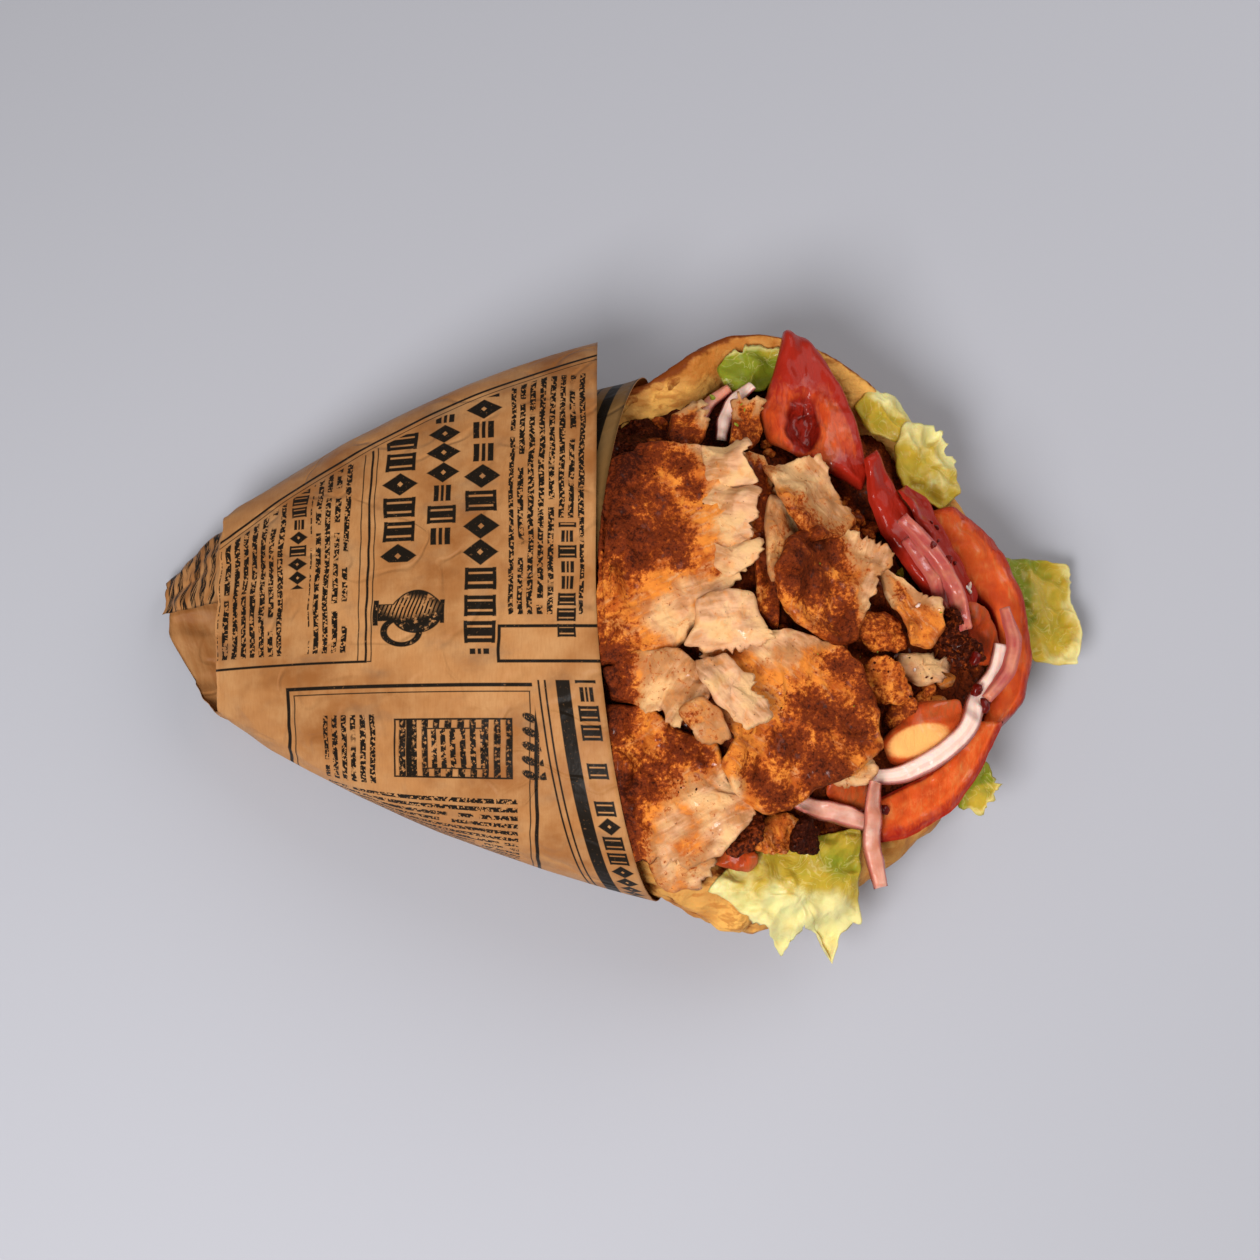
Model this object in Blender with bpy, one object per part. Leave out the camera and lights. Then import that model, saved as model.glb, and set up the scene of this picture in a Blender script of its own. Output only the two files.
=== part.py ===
"""Chicken gyro wrap lying on its side, for Blender 4.5.

A round flatbread is rolled into a cone and held in one spiral sheet of printed paper. Its open end
spreads like a scoop, with shaved chicken, tomato, red onion and lettuce heaped in it.
+X runs from the paper tip to the open end, +Y to the high side of the bread, +Z up. The numbers
below are millimetres, and build_object() turns them into metres.
"""
import math
import random

import bmesh
import bpy
from mathutils import Matrix, Vector
from mathutils.bvhtree import BVHTree

MM = 0.001

# The roll
APEX_X = -115.0         # where the cone of the roll would come to a point
MOUTH_X = 8.0           # widest station of the paper
MOUTH_HALF_WIDTH = 61.5
CONE_POWER = 0.65       # under 1, so the cone bulges
CONE_BULGE = 4.0
SECTION_POWER = 0.8     # under 1, so a section is boxier than an ellipse
FLAT = 1.0              # how much of the underside is pressed flat
TIP_SHIFT = 8.5         # the tip lies this far to +Y of the mouth
MOUTH_SHIFT = -0.8
TIP_SQUEEZE = 3.2       # the inner layers are rolled this much tighter at the tip
SQUEEZE_X = (-78.0, -103.0)     # from none to all of it
MOUTH_PINCH = 2.5       # and are this much narrower, and to -Y, just inside the mouth
PINCH_RISE_X = (-60.0, -8.0)
PINCH_FALL_X = (20.0, -2.0)

# The scoop that the bread makes beyond the paper
SPREAD_X = 22.0         # centre of the scoop in plan
SPREAD_HALF_WIDTH = 69.5
SPREAD_LENGTH = 68.0    # from SPREAD_X to the far rim
SPREAD_POWER = 1.7      # 2 would be an ellipse
SPREAD_DROP = 1.4       # the scoop sags by this, to the table
DROP_X = (14.0, 34.0)

# The paper
PAPER_THICKNESS = 0.4
PAPER_PITCH = 1.1       # from one turn of the sheet to the next
PAPER_FREE_ANGLE = 8.0  # degrees above the +Y side at which the outer edge lies
PAPER_TURN = 440.0
OUTER_TO_INNER = (150.0, 250.0) # turn over which the outer layer becomes the inner one
PINCH_TURN = (262.0, 345.0)     # the inner layer takes up its pinch over this turn
PAPER_FLOOR = 0.9       # height of the flat underside in the roll's own frame
PAPER_FLAP_LIFT = 4.5   # how far the loose corner stands off the roll
FLAP_RISE = 0.35        # and rises, as a share of that
FLAP_TURN = 75.0        # the sheet is loose up to this turn
FLAP_FROM_X = -85.0
PAPER_EDGE_X = -92.0    # the outer turn ends here, and the inner one runs on to the tip
PAPER_TIP_X = -106.5
PAPER_TOP_X = -7.2      # mouth edge of the sheet at the top of the roll
PAPER_BOTTOM_X = 11.0   # and where it reaches furthest, under the roll
MOUTH_CURVE_TURN = 80.0 # the mouth edge is straight up to this turn
MOUTH_CURVE_POWER = 1.3

# The bread
BREAD_TIP_X = -86.0
BREAD_INSET = 2.3       # from the paper's outer face to the bread's
BREAD_THICKNESS = 5.0
WAIST_LOW_SIDE = 23.0   # height of the bread's widest line on the -Y side, and at the far end
WAIST_END = 15.0
WAIST_LOW_X = -10.0     # the waist starts to sink here on the -Y side
RIM_TIP = 78.0          # degrees up its section at which the bread ends: 90 would close it
RIM_HIGH_SIDE = 14.0
RIM_LOW_SIDE = 34.0
RIM_END = 10.0
RIM_OPEN_X = (-60.0, 5.0)       # the bread opens between these
END_POWER = 1.5         # over 1, so the sides keep their section further round the scoop

# The filling
CORE_TIP_X = -78.0
CORE_INSET = 8.5
CORE_DEPTH = 8.0        # under the surface of the heap
CORE_DEPTH_END = 13.0   # the same towards the far rim, where more pieces lie on it
CORE_DEPTH_X = (25.0, 60.0)
CORE_EDGE = 0.5         # the core's edge is at least this high
HANG = 15.0             # a piece that sticks out past the rim hangs this far under that surface
HEAP_TOP = 60.0
HEAP_TOP_X = 5.0
HEAP_FALL = 0.0047      # per mm, of the square of the distance along X
HEAP_FALL_SIDE = 0.006  # the same along Y
GAP = 0.4               # between a piece and what it lies on
NEAR = 1.5              # a piece clears whatever lies this near in plan
STRETCH_ROUNDS = 30
DROOP = 0.2             # share by which a slice sinks to its floor in each round
EDGE_ROUND = 0.6        # under 1, so a slice is flatter than a lens
PLAN_POWER = 0.8        # under 1, so a slice is boxier in plan than an ellipse
PAPER_CLEARANCE = 1.5   # from the paper's mouth edge to the pieces
LONG_PIECE = 24.0       # a piece over this length has more points round it
ABOVE_ALL = 200.0

COLOURS = {             # (base colour, roughness)
    "paper": ((0.55, 0.33, 0.15), 0.55),
    "bread": ((0.72, 0.45, 0.18), 0.6),
    "chicken": ((0.55, 0.22, 0.05), 0.45),
    "char": ((0.05, 0.02, 0.012), 0.6),
    "tomato": ((0.62, 0.06, 0.02), 0.2),
    "onion": ((0.75, 0.38, 0.4), 0.25),
    "lettuce": ((0.55, 0.62, 0.12), 0.35),
}
RAGGED = {"chicken": 0.16, "char": 0.2, "tomato": 0.06, "onion": 0.05, "lettuce": 0.16}

# The pieces on top, lowest first: name, kind, centre (x, y), length, width, thickness,
# heading in degrees, taper (share by which the far end is narrower) and bend in degrees
# over the length.
PIECES = (
    ("lettuce_back", "lettuce", (28, 57), 16, 11, 2.5, 10, 0.0, 0),
    ("lettuce_right_back", "lettuce", (57, 46), 18, 12, 2.5, 0, 0.0, 0),
    ("lettuce_right", "lettuce", (66, 37), 20, 13, 2.5, -60, 0.0, 0),
    ("lettuce_end", "lettuce", (91, 8), 25, 22, 2.5, -80, 0.0, 0),
    ("lettuce_end_low", "lettuce", (73, -32), 14, 16, 2.5, -60, 0.0, 0),
    ("lettuce_front", "lettuce", (35, -59), 36, 22, 2.5, -8, 0.0, -15),
    ("tomato_end", "tomato", (87, 3), 56, 12, 5, -85, 0.0, -115),
    ("tomato_end_low", "tomato", (69, -35), 38, 11, 5, -135, 0.0, -80),
    ("tomato_back", "tomato", (41, 46), 38, 22, 7, -68, 0.1, -10),
    ("tomato_strip", "tomato", (60, 19), 36, 8, 6, -61, 0.1, -10),
    ("tomato_strip_low", "tomato", (69, 16), 33, 8, 5, -60, 0.1, -10),
    ("tomato_piece_end", "tomato", (77, -2), 14, 8, 5, -75, 0.0, 0),
    ("tomato_wedge", "tomato", (63, -25), 19, 13, 6, -10, 0.2, 0),
    ("tomato_piece_low", "tomato", (47, -38), 12, 8, 4, -10, 0.0, 0),
    ("tomato_piece_front", "tomato", (22, -53), 13, 5, 4, -5, 0.0, 0),
    ("onion_end", "onion", (72, -25), 48, 4, 2.5, -135, 0.2, -90),
    ("onion_back", "onion", (69, 11), 26, 4, 2.5, -60, 0.3, -60),
    ("onion_back_inner", "onion", (65, 7), 17, 4, 2.5, -62, 0.3, -47),
    ("onion_end_outer", "onion", (80, -7), 20, 4, 2.5, -102, 0.2, -65),
    ("onion_left", "onion", (23, 44), 14, 4, 2, -120, 0.0, 30),
    ("onion_left_outer", "onion", (18, 46), 15, 4, 2, -119, 0.0, 27),
    ("chicken_low_back", "chicken", (27, 40), 15, 8, 4, 90, 0.2, 0),
    ("chicken_low_left", "chicken", (12, 41), 13, 12, 4, 80, 0.0, 0),
    ("chicken_front", "chicken", (13, -56), 18, 9, 4, 0, 0.1, 10),
    ("chicken_right_light", "chicken", (64, -11), 13, 8, 4, 0, 0.2, 0),
    ("chicken_right_char", "char", (71, -5), 14, 8, 4, -50, 0.1, 0),
    ("chicken_chunk_high", "chicken", (54, -4), 12, 10, 5, 0, 0.1, 0),
    ("chicken_chunk_low", "chicken", (55, -15), 13, 9, 5, -20, 0.1, 0),
    ("chicken_right", "chicken", (61, 2), 18, 11, 5, -55, 0.1, 10),
    ("chicken_chunk_front", "chicken", (31, -48), 11, 10, 4, 0, 0.1, 0),
    ("chicken_char_front", "char", (37, -49), 8, 7, 4, 0, 0.1, 0),
    ("chicken_edge_low", "chicken", (45, -34), 16, 8, 4, -15, 0.1, 0),
    ("chicken_char_low", "char", (24, -47), 14, 9, 4, 90, 0.1, 0),
    ("chicken_strip", "chicken", (29, 15), 38, 8, 5, 92, 0.1, 8),
    ("chicken_leaf", "chicken", (34, 14), 20, 7, 4, 75, 0.2, 10),
    ("chicken_large_left", "chicken", (9, -39), 34, 30, 5, 80, 0.1, 0),
    ("chicken_large_front", "chicken", (36, -24), 39, 33, 5, -30, 0.1, 0),
    ("chicken_centre", "chicken", (45, 4), 26, 22, 5, 10, 0.2, 0),
    ("chicken_top", "chicken", (41, 23), 25, 16, 4, -42, 0.0, 0),
    ("chicken_large_top", "chicken", (10, 11), 48, 33, 5, 85, 0.15, 0),
    ("chicken_flap", "chicken", (22, -5), 19, 12, 3, -20, 0.1, 0),
    ("chicken_tan_left", "chicken", (6, -19), 22, 13, 3, -5, 0.1, 0),
    ("chicken_white_strip", "chicken", (21, -20), 18, 10, 3, -45, 0.2, 0),
    ("chicken_tan_low", "chicken", (15, -30), 12, 8, 3, -60, 0.1, 0),
    ("onion_front", "onion", (42, -43), 20, 4, 2.5, -8, 0.0, 20),
    ("onion_front_end", "onion", (52, -48), 22, 4, 2.5, -88, 0.0, -8),
)


# ---------------------------------------------------------------- helpers

def clear_scene():
    for obj in list(bpy.data.objects):
        bpy.data.objects.remove(obj)


def clamp01(t):
    return max(0.0, min(1.0, t))


def ease(low, high, value):
    """0 at low, 1 at high, smooth between."""
    s = clamp01((value - low) / (high - low))
    return s * s * (3 - 2 * s)


def mix(a, b, share):
    return a + (b - a) * share


def signed_power(value, power):
    return math.copysign(abs(value) ** power, value)


def material(kind):
    made = bpy.data.materials.get(kind)
    if made is None:
        colour, roughness = COLOURS[kind]
        made = bpy.data.materials.new(kind)
        made.use_nodes = True
        shader = made.node_tree.nodes["Principled BSDF"]
        shader.inputs["Base Color"].default_value = (*colour, 1.0)
        shader.inputs["Roughness"].default_value = roughness
        shader.inputs["Metallic"].default_value = 0.0
    return made


def middle_of(points):
    """Middle of the box round some points, and the box's lowest height."""
    low = Vector([min(point[i] for point in points) for i in range(3)])
    high = Vector([max(point[i] for point in points) for i in range(3)])
    return (low + high) / 2, low.z


def build_object(name, kind, mesh, root):
    """Makes one object of a closed bmesh given in millimetres, with its origin in its middle."""
    bmesh.ops.recalc_face_normals(mesh, faces=mesh.faces)
    if mesh.calc_volume(signed=True) < 0:
        bmesh.ops.reverse_faces(mesh, faces=mesh.faces)
    middle, _ = middle_of([vert.co for vert in mesh.verts])
    bmesh.ops.translate(mesh, vec=-middle, verts=mesh.verts)
    bmesh.ops.scale(mesh, vec=(MM, MM, MM), verts=mesh.verts)
    data = bpy.data.meshes.new(name)
    mesh.to_mesh(data)
    mesh.free()
    data.shade_smooth()
    data.materials.append(material(kind))
    obj = bpy.data.objects.new(name, data)
    obj.location = middle * MM
    obj.parent = root
    root.users_collection[0].objects.link(obj)


def sheet_faces(mesh, rows):
    """Joins rows of points with quads."""
    verts = [[mesh.verts.new(point) for point in row] for row in rows]
    for row, following in zip(verts, verts[1:]):
        for i in range(len(row) - 1):
            mesh.faces.new((row[i], row[i + 1], following[i + 1], following[i]))


def merge_coinciding(mesh):
    bmesh.ops.remove_doubles(mesh, verts=mesh.verts, dist=0.01)
    bmesh.ops.dissolve_degenerate(mesh, edges=mesh.edges, dist=0.01)


def bridge_open_edges(mesh):
    open_edges = [edge for edge in mesh.edges if edge.is_boundary]
    bmesh.ops.bridge_loops(mesh, edges=open_edges)


# ---------------------------------------------------------------- sections of the roll

def roll_half_width(x):
    s = (x - APEX_X) / (MOUTH_X - APEX_X)
    return MOUTH_HALF_WIDTH * s ** CONE_POWER + CONE_BULGE * math.sin(math.pi * min(s, 1.0))


def roll_centre(x):
    """Y of the middle of the roll."""
    return MOUTH_SHIFT + TIP_SHIFT * (1 - clamp01((x - APEX_X) / (SPREAD_X - APEX_X)))


def squeeze(x):
    return TIP_SQUEEZE * ease(*SQUEEZE_X, x)


def pinch(x):
    return MOUTH_PINCH * ease(*PINCH_RISE_X, x) * ease(*PINCH_FALL_X, x)


def section_point(half_width, waist, top, inset, degrees):
    """(distance outward, height) on a section: -90 is its underside, 0 its side, 90 its top."""
    a = math.radians(degrees)
    out = (half_width - inset) * signed_power(math.cos(a), SECTION_POWER)
    tall = (top - waist if degrees > 0 else waist) - inset
    height = waist + tall * signed_power(math.sin(a), SECTION_POWER) - FLAT
    return out, max(height, inset)


# ---------------------------------------------------------------- paper

def paper_ends(turn):
    """X of the sheet's tip end and mouth end, at an angle from its free edge."""
    under = math.sin(math.pi * clamp01((turn - MOUTH_CURVE_TURN) / (PAPER_TURN - MOUTH_CURVE_TURN)))
    mouth = mix(PAPER_TOP_X, PAPER_BOTTOM_X, under ** MOUTH_CURVE_POWER)
    tip = mix(PAPER_EDGE_X, PAPER_TIP_X, ease(*OUTER_TO_INNER, turn))
    return tip, mouth


def paper_point(turn, x):
    """A point of the sheet, on the spiral that starts at its free edge."""
    inset = PAPER_PITCH * turn / 360 + squeeze(x) * ease(*OUTER_TO_INNER, turn)
    pinched = pinch(x) * ease(*PINCH_TURN, turn)
    width = roll_half_width(x)
    degrees = (PAPER_FREE_ANGLE + turn + 90) % 360 - 90
    side = -1 if degrees > 90 else 1
    out, height = section_point(
        width - pinched, width / 2, width, inset, min(degrees, 180 - degrees))
    loose = PAPER_FLAP_LIFT * ease(FLAP_TURN, 0, turn) * ease(FLAP_FROM_X, 0, x)
    height = max(height, PAPER_FLOOR + squeeze(x))
    return Vector((x, roll_centre(x) - pinched + side * out + loose, height + FLAP_RISE * loose))


def add_paper(root, pile):
    turns, stations = 44, 8
    rows = []
    for k in range(turns + 1):
        turn = PAPER_TURN * k / turns
        tip, mouth = paper_ends(turn)
        rows.append([paper_point(turn, mix(tip, mouth, i / stations)) for i in range(stations + 1)])
    mesh = bmesh.new()
    sheet_faces(mesh, rows)
    mesh.normal_update()
    bmesh.ops.solidify(mesh, geom=mesh.faces[:], thickness=PAPER_THICKNESS)
    pile.append(BVHTree.FromBMesh(mesh))
    build_object("paper_wrap", "paper", mesh, root)


# ---------------------------------------------------------------- bread and core

def bowl_stations(tip_x, along, around):
    """(x of the spine, heading) from the tip along +Y, round the scoop and back along -Y."""
    side = [mix(tip_x, SPREAD_X, i / along) for i in range(along)]
    yield from ((x, 90.0) for x in side)
    yield from ((SPREAD_X, 90.0 - 180.0 * i / around) for i in range(around + 1))
    yield from ((x, -90.0) for x in reversed(side))


def bowl_section(x, heading):
    """(half width, waist height, top height, rim angle) of the bread at a station."""
    high_side = heading > 0
    end = math.cos(math.radians(heading)) ** END_POWER if abs(heading) < 90 else 0.0
    if abs(heading) < 90:
        share = abs(math.cos(math.radians(heading)) / SPREAD_LENGTH) ** SPREAD_POWER
        share += abs(math.sin(math.radians(heading)) / SPREAD_HALF_WIDTH) ** SPREAD_POWER
        half_width = share ** (-1 / SPREAD_POWER)
    else:
        spread = ease(MOUTH_X, SPREAD_X, x)
        half_width = mix(roll_half_width(min(x, MOUTH_X)), SPREAD_HALF_WIDTH, spread) - pinch(x)
    closed_waist = roll_half_width(min(x, MOUTH_X)) / 2
    lowered = 0.0 if high_side else ease(WAIST_LOW_X, SPREAD_X, x)
    waist = mix(mix(closed_waist, WAIST_LOW_SIDE, lowered), WAIST_END, end)
    open_rim = RIM_HIGH_SIDE if high_side else RIM_LOW_SIDE
    rim = mix(mix(RIM_TIP, open_rim, ease(*RIM_OPEN_X, x)), RIM_END, end)
    return half_width, waist, 2 * waist, rim


def bowl_point(x, heading, inset, degrees):
    half_width, waist, top, _ = bowl_section(x, heading)
    out, height = section_point(half_width, waist, top, inset + squeeze(x), degrees)
    a = math.radians(heading)
    point = Vector((x + out * math.cos(a), roll_centre(x) - pinch(x) + out * math.sin(a), height))
    point.z -= SPREAD_DROP * ease(*DROP_X, point.x)
    return point


def bread_row(x, heading, inset, steps):
    rim = bowl_section(x, heading)[3]
    return [bowl_point(x, heading, inset, mix(-90, rim, i / steps)) for i in range(steps + 1)]


def add_bread(root, pile):
    along, around, steps = 9, 12, 9
    mesh = bmesh.new()
    for inset in (BREAD_INSET, BREAD_INSET + BREAD_THICKNESS):
        rows = [bread_row(x, heading, inset, steps)
                for x, heading in bowl_stations(BREAD_TIP_X, along, around)]
        sheet_faces(mesh, rows)
    merge_coinciding(mesh)
    bridge_open_edges(mesh)
    pile.append(BVHTree.FromBMesh(mesh))
    build_object("flatbread", "bread", mesh, root)


def heap_height(x, y):
    return HEAP_TOP - HEAP_FALL * (x - HEAP_TOP_X) ** 2 - HEAP_FALL_SIDE * y * y


def core_height(x, y):
    return heap_height(x, y) - mix(CORE_DEPTH, CORE_DEPTH_END, ease(*CORE_DEPTH_X, x))


def core_row(x, heading, steps):
    """Up the inside of the bread to its rim, and then in over the top to the spine."""
    rim = bowl_section(x, heading)[3]
    row = [bowl_point(x, heading, CORE_INSET, mix(-90, rim, i / steps)) for i in range(steps + 1)]
    edge = row[-1].copy()
    ceiling = roll_half_width(min(x, MOUTH_X)) - CORE_INSET - FLAT
    for i in range(steps // 2 + 1):
        place = edge.lerp(Vector((x, roll_centre(x) - pinch(x), 0)), 2 * i / steps)
        top = min(core_height(place.x, place.y), ceiling)
        row.append(Vector((place.x, place.y, max(top, edge.z + CORE_EDGE))))
    return row


def add_core(root, pile):
    along, around, steps = 8, 10, 10
    mesh = bmesh.new()
    sheet_faces(mesh, [core_row(x, heading, steps)
                       for x, heading in bowl_stations(CORE_TIP_X, along, around)])
    merge_coinciding(mesh)
    bmesh.ops.holes_fill(mesh, edges=mesh.edges)
    pile.append(BVHTree.FromBMesh(mesh))
    build_object("filling_core", "chicken", mesh, root)


# ---------------------------------------------------------------- pieces of the filling

def paper_line(y):
    """X of the paper's mouth edge above a given Y."""
    out = min(1.0, abs(y - MOUTH_SHIFT) / MOUTH_HALF_WIDTH)
    degrees = math.degrees(math.acos(out ** (1 / SECTION_POWER)))
    if y < MOUTH_SHIFT:
        degrees = 180 - degrees
    return paper_ends(max(0.0, degrees - PAPER_FREE_ANGLE))[1]


def pile_top(pile, x, y):
    """Height of the top of the pile at a place, or None beside it."""
    top = None
    for tree in pile:
        hit = tree.ray_cast(Vector((x, y, ABOVE_ALL)), Vector((0, 0, -1)))[0]
        if hit and (top is None or hit.z > top):
            top = hit.z
    return top


def highest_near(pile, x, y):
    around = [(0, 0)] + [(NEAR * math.cos(a), NEAR * math.sin(a))
                         for a in (math.radians(45 * k) for k in range(8))]
    tops = [pile_top(pile, x + dx, y + dy) for dx, dy in around]
    return max([top for top in tops if top is not None], default=-ABOVE_ALL)


def plan_place(piece, outline, u, v):
    """Where a point (u, v) of the unit disc lies on the piece in plan."""
    _, kind, centre, length, width, _, heading, taper, bend = piece
    angle = math.atan2(v, u)
    radius = math.hypot(u, v) * (1 + RAGGED[kind] * sum(
        share * math.sin(waves * angle + phase) for waves, share, phase in outline))
    along = 0.5 * length * radius * signed_power(math.cos(angle), PLAN_POWER)
    across = 0.5 * width * radius * signed_power(math.sin(angle), PLAN_POWER) * (1 - taper * u)
    if bend:
        curve = length / math.radians(bend)
        turned = along / curve
        along = (curve - across) * math.sin(turned)
        across = curve - (curve - across) * math.cos(turned)
    place = Vector(centre) + Matrix.Rotation(math.radians(heading), 2) @ Vector((along, across))
    place.x = max(place.x, paper_line(place.y) + PAPER_CLEARANCE)
    return place


def stretched_over(mesh, floor):
    """Heights of a stiff, slightly sagging sheet laid on the floor heights of the vertices."""
    mesh.verts.index_update()
    linked = [[edge.other_vert(vert).index for edge in vert.link_edges] for vert in mesh.verts]
    heights = list(floor)
    for _ in range(STRETCH_ROUNDS):
        heights = [max(low, mix(sum(heights[i] for i in near) / len(near), low, DROOP))
                   for low, near in zip(floor, linked)]
    return heights


def add_piece(piece, root, pile):
    """One slice: a flattened sphere draped over what is already in the pile."""
    name, kind, _, length, _, thickness, _, _, _ = piece
    dice = random.Random(name)
    outline = [(waves, 1 / (waves - 1), dice.uniform(0, 2 * math.pi)) for waves in (2, 3, 5)]
    mesh = bmesh.new()
    segments = 16 if length > LONG_PIECE else 12
    bmesh.ops.create_uvsphere(mesh, u_segments=segments, v_segments=6, radius=1.0)
    places = [plan_place(piece, outline, vert.co.x, vert.co.y) for vert in mesh.verts]
    floor = [max(heap_height(place.x, place.y) - HANG,
                 highest_near(pile, place.x, place.y) + GAP) for place in places]
    bottoms = stretched_over(mesh, floor)
    for vert, place, bottom in zip(mesh.verts, places, bottoms):
        height = bottom + thickness * (0.5 + 0.5 * signed_power(vert.co.z, EDGE_ROUND))
        vert.co = (place.x, place.y, height)
    merge_coinciding(mesh)
    tree = BVHTree.FromBMesh(mesh)
    while any(tree.overlap(other) for other in pile):
        bmesh.ops.translate(mesh, vec=(0, 0, GAP), verts=mesh.verts)
        tree = BVHTree.FromBMesh(mesh)
    pile.append(tree)
    build_object(name, kind, mesh, root)


# ---------------------------------------------------------------- assembly

def make_root():
    """The collection's empty, to which every piece is parented."""
    collection = bpy.data.collections.new("gyro_wrap")
    bpy.context.scene.collection.children.link(collection)
    root = bpy.data.objects.new("gyro_wrap_root", None)
    collection.objects.link(root)
    return root


def stand_on_origin(root):
    """Moves the root so that the bottom centre of the whole is at the world's origin."""
    points = [obj.location + vert.co for obj in root.children for vert in obj.data.vertices]
    middle, lowest = middle_of(points)
    root.location = (-middle.x, -middle.y, -lowest)


def build_wrap():
    root = make_root()
    pile = []
    add_paper(root, pile)
    add_bread(root, pile)
    add_core(root, pile)
    for piece in PIECES:
        add_piece(piece, root, pile)
    stand_on_origin(root)


clear_scene()
build_wrap()
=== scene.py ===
"""Looks of the chicken gyro wrap, for Blender 4.5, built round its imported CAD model.

Each CAD piece is replaced by a finer one of its own kind in the same place: a printed spiral sheet
of paper, a toasted flatbread, torn slices of chicken, tomato, onion and lettuce, and the shreds,
seeds and crumbs between them. Lengths are millimetres unless a name says otherwise.
"""

import math
import random

import bmesh
import bpy
import numpy as np
from mathutils import Euler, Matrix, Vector
from mathutils.bvhtree import BVHTree


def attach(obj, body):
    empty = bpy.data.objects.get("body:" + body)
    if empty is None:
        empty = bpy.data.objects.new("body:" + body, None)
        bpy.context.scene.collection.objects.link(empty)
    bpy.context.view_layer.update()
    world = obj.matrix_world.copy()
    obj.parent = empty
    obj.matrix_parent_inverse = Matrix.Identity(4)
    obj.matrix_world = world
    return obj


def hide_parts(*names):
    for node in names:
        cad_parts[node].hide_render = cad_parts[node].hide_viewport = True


MM = 0.001
DESIGN_TO_PART = np.array((1.86, 2.53, -0.5))   # where the CAD's design origin is in the part

# Camera and light
CAMERA_TARGET = (1.86, 2.53, 24.5)
CAMERA_ELEVATION = 77.0
CAMERA_DISTANCE = 560.0
CAMERA_LENS = 72.05     # on a 36 mm sensor
FLOOR_COLOUR = (0.44, 0.44, 0.48)
KEY_LIGHT = ((-170.0, -330.0, 560.0), 330.0, 4.4)    # place, size, watts
FILL_LIGHT = ((420.0, 260.0, 420.0), 600.0, 1.9)
SKY_STRENGTH = 0.24

# The roll of paper, as in the CAD
APEX_X = -115.0
MOUTH_X = 8.0
MOUTH_HALF_WIDTH = 61.5
CONE_POWER = 0.65
CONE_BULGE = 4.0
SECTION_POWER = 0.8
FLAT = 1.0
TIP_SHIFT = 8.5
MOUTH_SHIFT = -0.8
SPREAD_X = 22.0
TIP_SQUEEZE = 3.2
SQUEEZE_X = (-78.0, -103.0)
MOUTH_PINCH = 2.5
PINCH_RISE_X = (-60.0, -8.0)
PINCH_FALL_X = (20.0, -2.0)
PAPER_SKIN = 0.35       # from the CAD sheet's inner face to the face modelled here
PAPER_THICKNESS = 0.16
PAPER_LOWEST = 0.7      # of the inner face
PAPER_PITCH = 1.1
PAPER_FREE_ANGLE = 8.0
PAPER_TURN = 440.0
OUTER_TO_INNER = (150.0, 250.0)
PINCH_TURN = (262.0, 345.0)
PAPER_FLOOR = 0.9
PAPER_FLAP_LIFT = 4.5
FLAP_RISE = 0.35
FLAP_TURN = 75.0
FLAP_FROM_X = -85.0
PAPER_EDGE_X = -92.0
PAPER_TIP_X = -106.5
PAPER_TOP_X = -7.2
PAPER_BOTTOM_X = 11.0
MOUTH_CURVE_TURN = 80.0
MOUTH_CURVE_POWER = 1.3
CREST_TURN = 90.0 - PAPER_FREE_ANGLE    # turn at which the sheet passes over the top
PAPER_CREASE = 0.5      # depth of the creases
PAPER_ROWS = 300        # of the mesh, round the roll and along it
PAPER_STATIONS = 100


# ---------------------------------------------------------------- numbers and noise

LATTICE_TURN = np.array(((0.36, 0.48, -0.8), (-0.8, 0.6, 0.0), (0.48, 0.64, 0.6)))


def ease(low, high, value):
    """0 at low, 1 at high, smooth between. It takes arrays."""
    s = np.clip((value - low) / (high - low), 0.0, 1.0)
    return s * s * (3 - 2 * s)


def mix(a, b, share):
    return a + (b - a) * share


def signed_power(value, power):
    return np.sign(value) * np.abs(value) ** power


def cell_value(cells, seed):
    """A fixed random number from -1 to 1 for each row of three whole numbers."""
    x, y, z = (cells[:, i].astype(np.int64) for i in range(3))
    n = (x * 73856093) ^ (y * 19349663) ^ (z * 83492791) ^ ((seed + 1) * 26544357)
    n = ((n ^ (n >> 13)) * 1274126177) & 0x7FFFFFFF
    n = ((n ^ (n >> 15)) * 1103515245) & 0x7FFFFFFF
    return n / 0x3FFFFFFF - 1.0


def lattice_noise(points, seed):
    base = np.floor(points)
    part = points - base
    part = part * part * (3 - 2 * part)
    total = np.zeros(len(points))
    for corner in np.ndindex(2, 2, 2):
        weight = np.prod(np.where(corner, part, 1 - part), axis=1)
        total += weight * cell_value(base + corner, seed)
    return total


def noise(points, size, seed=0, octaves=3):
    """Smooth noise from about -1 to 1, with lumps about size across."""
    total, share, spread = 0.0, 1.0, 0.0
    turned = np.asarray(points, float) / size
    for k in range(octaves):
        turned = turned @ LATTICE_TURN
        total = total + share * lattice_noise(turned * 2 ** k + 7.3 * k, seed + 31 * k)
        spread += share
        share *= 0.5
    return total / spread * 1.6


def flat_noise(x, y, size, seed=0, octaves=3):
    return noise(np.column_stack([x, y, np.zeros_like(x)]), size, seed, octaves)


# ---------------------------------------------------------------- meshes

def add_piece(name, points, faces, material, nodes=(), smooth=True):
    """Makes a piece of the object from points in the design frame, and rides it on the body."""
    data = bpy.data.meshes.new(name)
    if isinstance(faces, np.ndarray):
        faces = faces.tolist()
    data.from_pydata((np.asarray(points) + DESIGN_TO_PART) * MM, [], faces)
    data.materials.append(material)
    if smooth:
        data.shade_smooth()
    piece = bpy.data.objects.new(name, data)
    bpy.context.scene.collection.objects.link(piece)
    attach(piece, "root")
    if nodes:
        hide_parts(*nodes)
    return piece


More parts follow.
